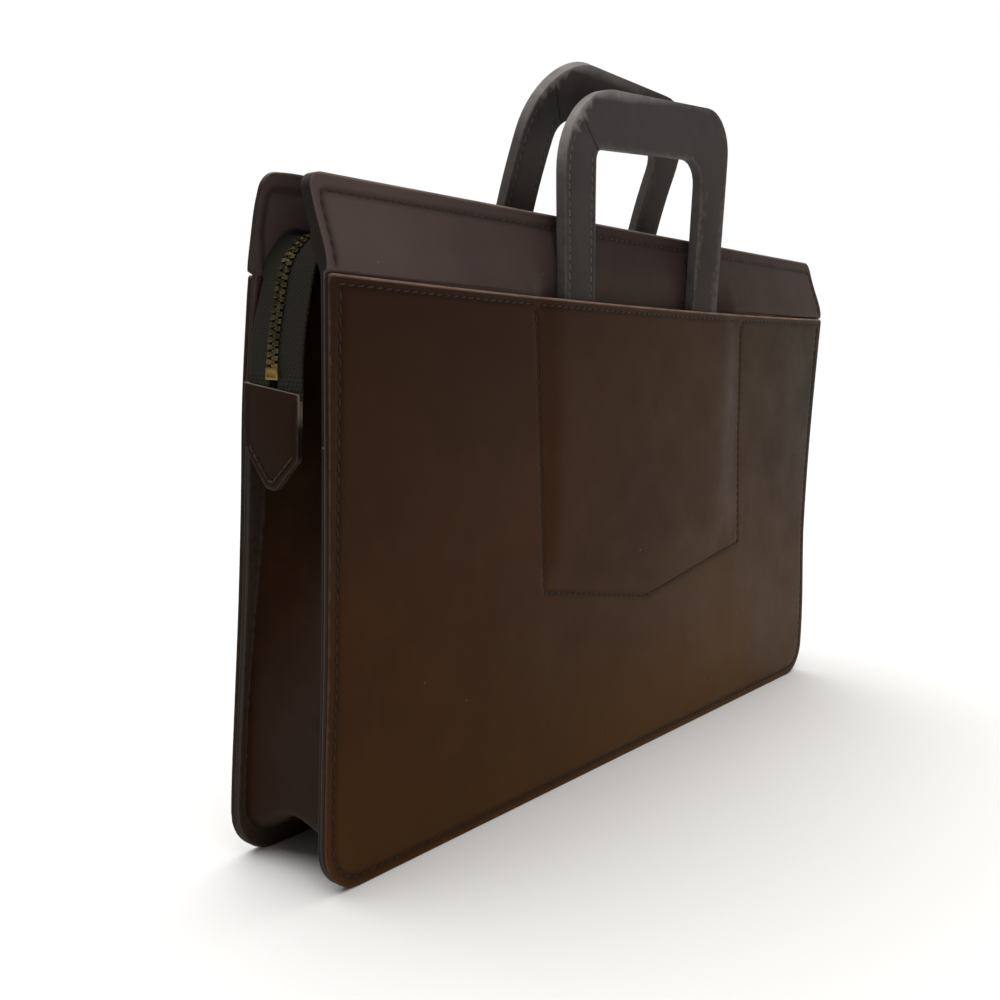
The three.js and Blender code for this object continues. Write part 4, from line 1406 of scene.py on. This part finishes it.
def handle_frame(name, form, along, exposed, shape):
    outer, window = (rounded_plate(*numbers) for numbers in form)
    join(outer, window)
    outer.name = name
    pick(outer, "FACE", everywhere)
    bpy.ops.mesh.delete(type="ONLY_FACE")
    bpy.ops.mesh.select_mode(type="EDGE")
    bpy.ops.mesh.select_all(action="SELECT")
    bpy.ops.mesh.bridge_edge_loops()
    bpy.ops.mesh.normals_make_consistent(inside=False)
    done()
    for s in range(FLEX_STEP, int(HANDLE_LENGTH), FLEX_STEP):
        cut(outer, (0, s, 0), (0, 1, 0))
    for u in (-HALF + OUTER_STITCH, -HALF + LEG_WIDTH - WINDOW_STITCH):
        for d in (-1.1, 0, 1.1):
            cut(outer, (u + d, 0, 0), (1, 0, 0), lambda p: p.x < (-HALF + LEG_WIDTH) * MM)
    slant = (Vector((*MITRE_TOP, 0)) - Vector((*MITRE_LOW, 0))).normalized()
    normal = Vector((-slant.y, slant.x, 0))
    for d in (-0.6, 0, 0.6):
        place = Vector((*MITRE_LOW, 0)) + normal * d
        cut(outer, place, normal, lambda p: p.x < -42 * MM and p.y > 100 * MM)
    if outer.data.polygons[0].normal.z < 0:
        pick(outer, "FACE", everywhere)
        bpy.ops.mesh.flip_normals()
        done()
    modify(outer, "SOLIDIFY", thickness=HANDLE_THICKNESS * MM, offset=-1)
    round_rim(outer, HANDLE_RIM, 5, 60)
    outlines = segments([rounded_outline(*numbers) for numbers in form])
    note(outer, "edge", lambda p: 1 - distance_to(outlines, p.x, p.y) / HANDLE_RIM)
    crown = segments([rounded_outline(*form[0])])
    # The top left of the crown's edge is marked for a painted highlight, mixed with wear.
    note(outer, "wear_and_painted_highlight", lambda p: 0.75 * smooth(p.y, 88, 124) * (1 - smooth(p.x, -30, 40)) * (
        1 - distance_to(crown, p.x, p.y) / HANDLE_RIM))
    # The seam mark says where shade is painted along the slanted seam and the leg's stitch rows.
    note(outer, "seam", lambda p: max(
        ridge(distance_to(MITRE_ENDS, p.x, p.y), 0.6),
        0.6 * ridge(distance_to(LEG_ENDS, p.x, p.y), 1.0),
    ))

    def place(u, s, w):
        dent = SEAM_DEPTH * ridge(distance_to(MITRE_ENDS, u, s), 0.35)
        dent += 0.6 * groove(distance_to(LEG_ENDS, u, s))
        middle = -HANDLE_THICKNESS / 2
        w = middle + (w - middle) * (1 - dent / (HANDLE_THICKNESS / 2))
        u, s = shape(u, s)
        return along(u, exposed - HANDLE_LENGTH + s, -w)

    lay(outer, place)
    smooth_skin(outer, 35)
    return outer


front_handle = handle_frame("front_handle_leather", FRONT_FORM, along_front, FRONT_EXPOSED, pulled)
back_handle = handle_frame("back_handle_leather", BACK_FORM, along_back, BACK_EXPOSED, square)
ready(front_handle, "front_handle_body", ("front_handle",))
ready(back_handle, "back_handle_body", ("back_handle",))

# %% [markdown]
# ## Channel stops
#
# A short strip of leather is sewn inside each mouth, within the handle's window, and the foot bar
# stops against it. It is hidden, so it is a plain block with softened edges and ends cut round.

# %% Channel stops
STOP_DEPTH = 4.5
STOP_HEIGHT = 7.5
STOP_WIDTH = 64


def channel_stop(name, along, node):
    strip = fresh(name, bpy.ops.mesh.primitive_plane_add)
    lay(strip, lambda x, y, z: (
        x * MM * STOP_WIDTH, lerp(-STOP_DEPTH - STOP_HEIGHT, -STOP_DEPTH, y * MM + 0.5), 0))
    round_points(strip, 2.5, 4)
    thicken(strip, HANDLE_THICKNESS, rim=0.5)
    note(strip, "edge", lambda p: 0.3)
    lay(strip, lambda u, a, w: along(u, a, -w))
    smooth_skin(strip)
    return ready(strip, "case", (node,))


front_stop = channel_stop("front_channel_stop", along_front, "front_handle_stop")
back_stop = channel_stop("back_channel_stop", along_back, "back_handle_stop")

# %% [markdown]
# ## Threads
#
# The seams are sewn with a waxed dark thread whose stitches lie a little slanted in their groove.
# One stitch is a cube drawn out, with its ends pinched and sunk as they enter the awl holes. It is
# copied along each line, turned to the leather's slope.

# %% One stitch
STITCH_LENGTH = 3.4
STITCH_WIDTH = 0.62
STITCH_SLANT = math.radians(9)
# how deep a stitch's middle lies in the leather; less than nothing stands it out of its groove
IN_GROOVE = -0.12
IN_HANDLE = 0.2


def one_stitch():
    stitch = block("stitch", (STITCH_LENGTH, STITCH_WIDTH, 0.6))
    for x in (-1.15, -0.5, 0.5, 1.15):
        cut(stitch, (x, 0, 0), (1, 0, 0))
    pick(stitch, "EDGE", lambda p: abs(p.y) > 0.3 * MM and abs(p.z) > 0.2 * MM)
    bpy.ops.mesh.bevel(offset=0.2 * MM, segments=1)
    done()
    pick(stitch, "VERT", lambda p: abs(p.x) > 1.6 * MM)
    bpy.ops.transform.resize(value=(1, 0.55, 0.6))
    bpy.ops.transform.translate(value=(0, 0, -0.35 * MM))
    done()
    pick(stitch, "VERT", lambda p: 1.1 * MM < abs(p.x) < 1.2 * MM)
    bpy.ops.transform.translate(value=(0, 0, -0.07 * MM))
    done()
    return stitch


stitch_model = one_stitch()
print("stitch:", len(stitch_model.data.polygons), "faces")

# %% Sewing


def walk(line, pitch):
    """Places a pitch apart along a line, each with its direction."""
    points = [Vector(p) for p in line]
    lengths = [(b - a).length for a, b in zip(points, points[1:])]
    count = max(1, round(sum(lengths) / pitch))
    places, gone, k = [], 0.0, 0
    for n in range(count):
        target = (n + 0.5) * sum(lengths) / count
        while gone + lengths[k] < target and k + 1 < len(lengths):
            gone += lengths[k]
            k += 1
        share = (target - gone) / lengths[k]
        places.append((points[k].lerp(points[k + 1], share), (points[k + 1] - points[k]).normalized()))
    return places


def sew(name, skin, out, lines, body, sunk, pitch=PITCH):
    """Stitches along lines of the flat pattern, on the surface that skin gives."""
    places = []
    for line in lines:
        for place, direction in walk(line, pitch):
            def across(step):
                return Vector(skin(*(place + step))) - Vector(skin(*(place - step)))

            here = Vector(skin(*place))
            ahead = across(direction * 0.6)
            wide = across(Vector((-direction.y, direction.x)) * 3)
            normal = ahead.cross(wide).normalized()
            if normal.y * out < 0:
                normal = -normal
            ahead.normalize()
            ahead = Matrix.Rotation(STITCH_SLANT, 3, normal) @ ahead
            places.append(frame_at(here - normal * sunk, ahead, normal.cross(ahead), normal))
    threads = copies(name, stitch_model, places)
    smooth_skin(threads, 60)
    return ready(threads, body)


def handle_skin(along, exposed, shape, t):
    def skin(u, s):
        u, s = shape(u, s)
        return along(u, exposed - HANDLE_LENGTH + s, t)

    return skin


threads = [
    sew(f"{word}_threads", skin, out, lines, "case", IN_GROOVE)
    for word, skin, out, lines in (
        ("front_pocket", front_pocket_skin, -1, pocket_lines(FRONT_HANDLE[0])),
        ("back_pocket", back_pocket_skin, 1, pocket_lines(BACK_HANDLE[0])),
        ("front_band", front_panel_skin, -1, [band_line()]),
        ("back_band", back_panel_skin, 1, [band_line()]),
    )
]
handle_threads = []
for side, along, exposed, shape, body in (
    ("front", along_front, FRONT_EXPOSED, pulled, "front_handle_body"),
    ("back", along_back, BACK_EXPOSED, square, "back_handle_body"),
):
    for face, t, out in (("face", 0.0, -1), ("rear", HANDLE_THICKNESS, 1)):
        skin = handle_skin(along, exposed, shape, t)
        name = f"{side}_handle_{face}_threads"
        handle_threads.append(sew(name, skin, out, leg_seams(), body, IN_HANDLE, 4.0))
for side, word in ((-1, "left"), (1, "right")):
    places = []
    for place, direction in walk(tab_outline(TAB_STITCH)[1:5], 3.6):
        here = (side * (HANG_X + TAB_THICKNESS / 2 + tab_bow(*place)), *tab_point(side, *place))
        ahead = Vector((0, side * direction.x, direction.y + side * TAB_SKEW * direction.x)).normalized()
        normal = Vector((side, 0, 0))
        places.append(frame_at(here, ahead, normal.cross(ahead), normal))
    tab_threads = copies(f"end_tab_{word}_threads", stitch_model, places)
    smooth_skin(tab_threads, 60)
    threads.append(ready(tab_threads, "case"))
bpy.data.objects.remove(stitch_model)

# %% [markdown]
# ## Finishes
#
# Everything but the zip is leather, dressed smooth and dark, with four finishes that differ in
# colour and gloss. A finish could be painted on a UV map, but patterns on Object coordinates need
# none and have the same scale on every piece. Three layers make it: slow mottling of the dye, fine
# grain in the bump and the gloss, and wear that follows the marks left on cut edges. Over these lies
# painted light: shade painted along the seams, a painted highlight mixed with wear on top edges, and
# on the sides a painted reflection, a lighter olive towards the lower right.

# %% Leather finishes


def leather(name, colours, wear_and_highlight_tone, rim, gloss, wear, tone_drifts_and_painted_reflection, specks=0.5):
    """colours are the dye's dark, middle and light tones; wear is how far edges are rubbed."""
    made, tree, shader = material(name)
    place = node(tree, "ShaderNodeTexCoord").outputs["Object"]
    mottle = noise(tree, place, 11, 4, 0.55)
    cloud = noise(tree, place, 70, 3, 0.6)
    grain = noise(tree, place, 900, 2, 0.5)
    pores = node(tree, "ShaderNodeTexVoronoi", {"Vector": place, "Scale": 1100.0}).outputs["Distance"]
    dark, middle, light = colours
    colour = blend_colour(tree, remap(tree, mottle, 0.3, 0.7), dark, middle)
    colour = blend_colour(tree, remap(tree, cloud, 0.5, 0.85, 0, 0.55), colour, light)
    # Tones that drift along a direction. On the sides the lighter olive towards the lower right is a painted
    # reflection.
    for direction, start_at, end_at, tone in tone_drifts_and_painted_reflection:
        along = node(tree, "ShaderNodeVectorMath", {0: place, 1: direction}, operation="DOT_PRODUCT")
        drift = maths(
            tree, "ADD", along.outputs["Value"], remap(tree, mottle, 0.3, 0.7, -0.03, 0.03))
        colour = blend_colour(tree, remap(tree, drift, start_at, end_at), colour, tone)
    # Painted shade: the leather is darkened along the stitch grooves and the handles' slanted seam.
    seam = attribute(tree, "seam")
    painted_seam_shade = tuple(c * 0.3 for c in dark)
    colour = blend_colour(tree, maths(tree, "MULTIPLY", seam, 0.6), colour, painted_seam_shade)
    frayed = remap(tree, noise(tree, place, 260, 3, 0.6), 0.2, 0.8, -0.35, 0.35)
    ragged = maths(tree, "ADD", attribute(tree, "edge"), frayed)
    rubbed = maths(tree, "MULTIPLY", remap(tree, ragged, 0.5, 1.0), wear)
    colour = blend_colour(tree, rubbed, colour, wear_and_highlight_tone)
    colour = blend_colour(tree, maths(tree, "MULTIPLY", attribute(tree, "rim"), 0.9), colour, rim)
    # Painted highlight mixed with wear: top edges, the tabs' upper front edges and the top left of the
    # handles' crown are lightened.
    patchy = remap(tree, cloud, 0.3, 0.6, 0.45, 0.95)
    wear_and_painted_highlight = maths(tree, "MULTIPLY", remap(tree, attribute(tree, "wear_and_painted_highlight"), 0.1, 0.7), patchy)
    colour = blend_colour(tree, wear_and_painted_highlight, colour, tuple(c * 1.9 for c in wear_and_highlight_tone))
    dust = node(tree, "ShaderNodeTexVoronoi", {"Vector": place, "Scale": 120.0})
    speck = maths(tree, "LESS_THAN", dust.outputs["Distance"], 0.055)
    some = node(tree, "ShaderNodeSeparateColor", {"Color": dust.outputs["Color"]}).outputs[0]
    speck = maths(tree, "MULTIPLY", speck, maths(tree, "GREATER_THAN", some, 0.86))
    colour = blend_colour(tree, maths(tree, "MULTIPLY", speck, specks), colour, (0.16, 0.13, 0.10))
    dull = remap(tree, noise(tree, place, 38, 4, 0.65), 0.25, 0.75, gloss - 0.07, gloss + 0.09)
    dull = maths(tree, "ADD", dull, maths(tree, "MULTIPLY", rubbed, 0.15))
    coarse, fine = maths(tree, "MULTIPLY", grain, 0.6), maths(tree, "MULTIPLY", pores, 0.4)
    height = maths(tree, "ADD", coarse, fine)
    bump = node(tree, "ShaderNodeBump", {"Height": height, "Strength": 0.22, "Distance": 0.00012})
    slow = node(tree, "ShaderNodeBump", {
        "Height": noise(tree, place, 120, 2, 0.5), "Strength": 0.3, "Distance": 0.00025,
        "Normal": bump.outputs["Normal"],
    })
    feed(tree, shader, {
        "Base Color": colour, "Roughness": dull, "Normal": slow.outputs["Normal"],
        "Specular IOR Level": 0.055, "Specular Tint": (1.0, 0.86, 0.68),
    })
    return made


# Tone drifts: a direction, where along it the tone starts and is full, in metres, and the tone.
# On the sides the tone darkens towards the top and the top right, and its lighter olive towards
# the lower right is a painted reflection of warm light from that side.
SIDE_TONES_AND_PAINTED_REFLECTION = (
    ((0.4, 0, -1.6), -0.22, -0.40, (0.023, 0.0095, 0.0055)),
    ((0.4, 0, -1.6), -0.18, 0.02, (0.080, 0.034, 0.0065)),
    ((1, 0, 0.6), 0.15, 0.32, (0.016, 0.0075, 0.0030)),
)
BAND_PATINA = (
    ((-1, 0, 0), 0.02, 0.18, (0.078, 0.055, 0.050)),
    ((1, 0, 0), 0.06, 0.20, (0.050, 0.033, 0.028)),
)
HANDLE_PATINA = (((0.35, 0, -1), -0.285, -0.205, (0.028, 0.0200, 0.0170)),)
side_leather = leather(
    "side_leather", ((0.032, 0.0112, 0.0030), (0.042, 0.0148, 0.0034), (0.055, 0.022, 0.0060)),
    (0.13, 0.085, 0.064), (0.007, 0.0055, 0.003), 0.42, 0.4, SIDE_TONES_AND_PAINTED_REFLECTION)
band_leather = leather(
    "band_leather", ((0.026, 0.0150, 0.0125), (0.033, 0.0195, 0.0165), (0.044, 0.028, 0.024)),
    (0.12, 0.095, 0.085), (0.007, 0.0065, 0.0055), 0.46, 0.35, BAND_PATINA)
gusset_leather = leather(
    "gusset_leather", ((0.012, 0.0040, 0.0014), (0.017, 0.0058, 0.0020), (0.024, 0.010, 0.0045)),
    (0.09, 0.07, 0.055), (0.006, 0.005, 0.0045), 0.48, 0.3, ())
handle_leather = leather(
    "handle_leather", ((0.040, 0.0355, 0.0365), (0.050, 0.0445, 0.0450), (0.064, 0.056, 0.055)),
    (0.13, 0.122, 0.118), (0.022, 0.020, 0.021), 0.48, 0.4, HANDLE_PATINA)

# %% Thread, cloth and brass


def waxed_thread(name, dark, light):
    made, tree, shader = material(name)
    place = node(tree, "ShaderNodeTexCoord").outputs["Object"]
    colour = blend_colour(tree, noise(tree, place, 300, 2), dark, light)
    feed(tree, shader, {"Base Color": colour, "Roughness": 0.6, "Specular IOR Level": 0.2})
    return made


def tape_cloth():
    made, tree, shader = material("tape_cloth")
    uv = node(tree, "ShaderNodeUVMap").outputs["UV"]
    ribs = node(tree, "ShaderNodeTexWave", {"Vector": uv, "Scale": 0.32, "Distortion": 0.4},
                wave_type="BANDS", bands_direction="DIAGONAL").outputs["Fac"]
    yarn = node(tree, "ShaderNodeTexWave", {"Vector": uv, "Scale": 0.45, "Distortion": 0.3},
                wave_type="BANDS", bands_direction="Y").outputs["Fac"]
    weave = maths(tree, "MULTIPLY", ribs, yarn)
    colour = blend_colour(tree, weave, (0.006, 0.0055, 0.0028), (0.020, 0.0185, 0.0095))
    bump = node(tree, "ShaderNodeBump", {"Height": weave, "Strength": 0.6, "Distance": 0.0002})
    feed(tree, shader, {
        "Base Color": colour, "Roughness": 0.88, "Specular IOR Level": 0.2, "Normal": bump.outputs["Normal"],
    })
    return made


def aged_brass():
    made, tree, shader = material("aged_brass")
    place = node(tree, "ShaderNodeTexCoord").outputs["Object"]
    tarnish = noise(tree, place, 420, 3, 0.6)
    height = node(tree, "ShaderNodeSeparateXYZ", {"Vector": place}).outputs["Z"]
    low = remap(tree, height, 0.192, 0.182)
    bright = remap(tree, tarnish, 0.3, 0.7)
    colour = blend_colour(tree, bright, (0.035, 0.030, 0.011), (0.125, 0.105, 0.042))
    colour = blend_colour(tree, maths(tree, "MULTIPLY", low, 0.75), colour, (0.30, 0.18, 0.045))
    dull = remap(tree, tarnish, 0.3, 0.7, 0.28, 0.48)
    feed(tree, shader, {"Base Color": colour, "Metallic": 1.0, "Roughness": dull})
    return made


thread_paint = waxed_thread("waxed_thread", (0.010, 0.004, 0.002), (0.042, 0.025, 0.016))
# The handles' thread is the dark thread made lighter, a painted highlight for the glints on its stitches.
thread_with_painted_glints = waxed_thread("thread_with_painted_glints", (0.045, 0.037, 0.028), (0.15, 0.13, 0.10))
cloth_paint, brass_paint = tape_cloth(), aged_brass()
FINISH = {
    side_leather: (front_pocket, back_pocket),
    band_leather: (front_panel, back_panel),
    gusset_leather: (gusset, tab_left, tab_right),
    handle_leather: (front_handle, back_handle, front_stop, back_stop),
    thread_paint: threads,
    thread_with_painted_glints: handle_threads,
    cloth_paint: (tape_front, tape_back),
    brass_paint: (teeth, stop, slider),
}
for paint, pieces in FINISH.items():
    for piece in pieces:
        piece.data.materials.clear()
        piece.data.materials.append(paint)
print("finishes:", [paint.name for paint in FINISH])
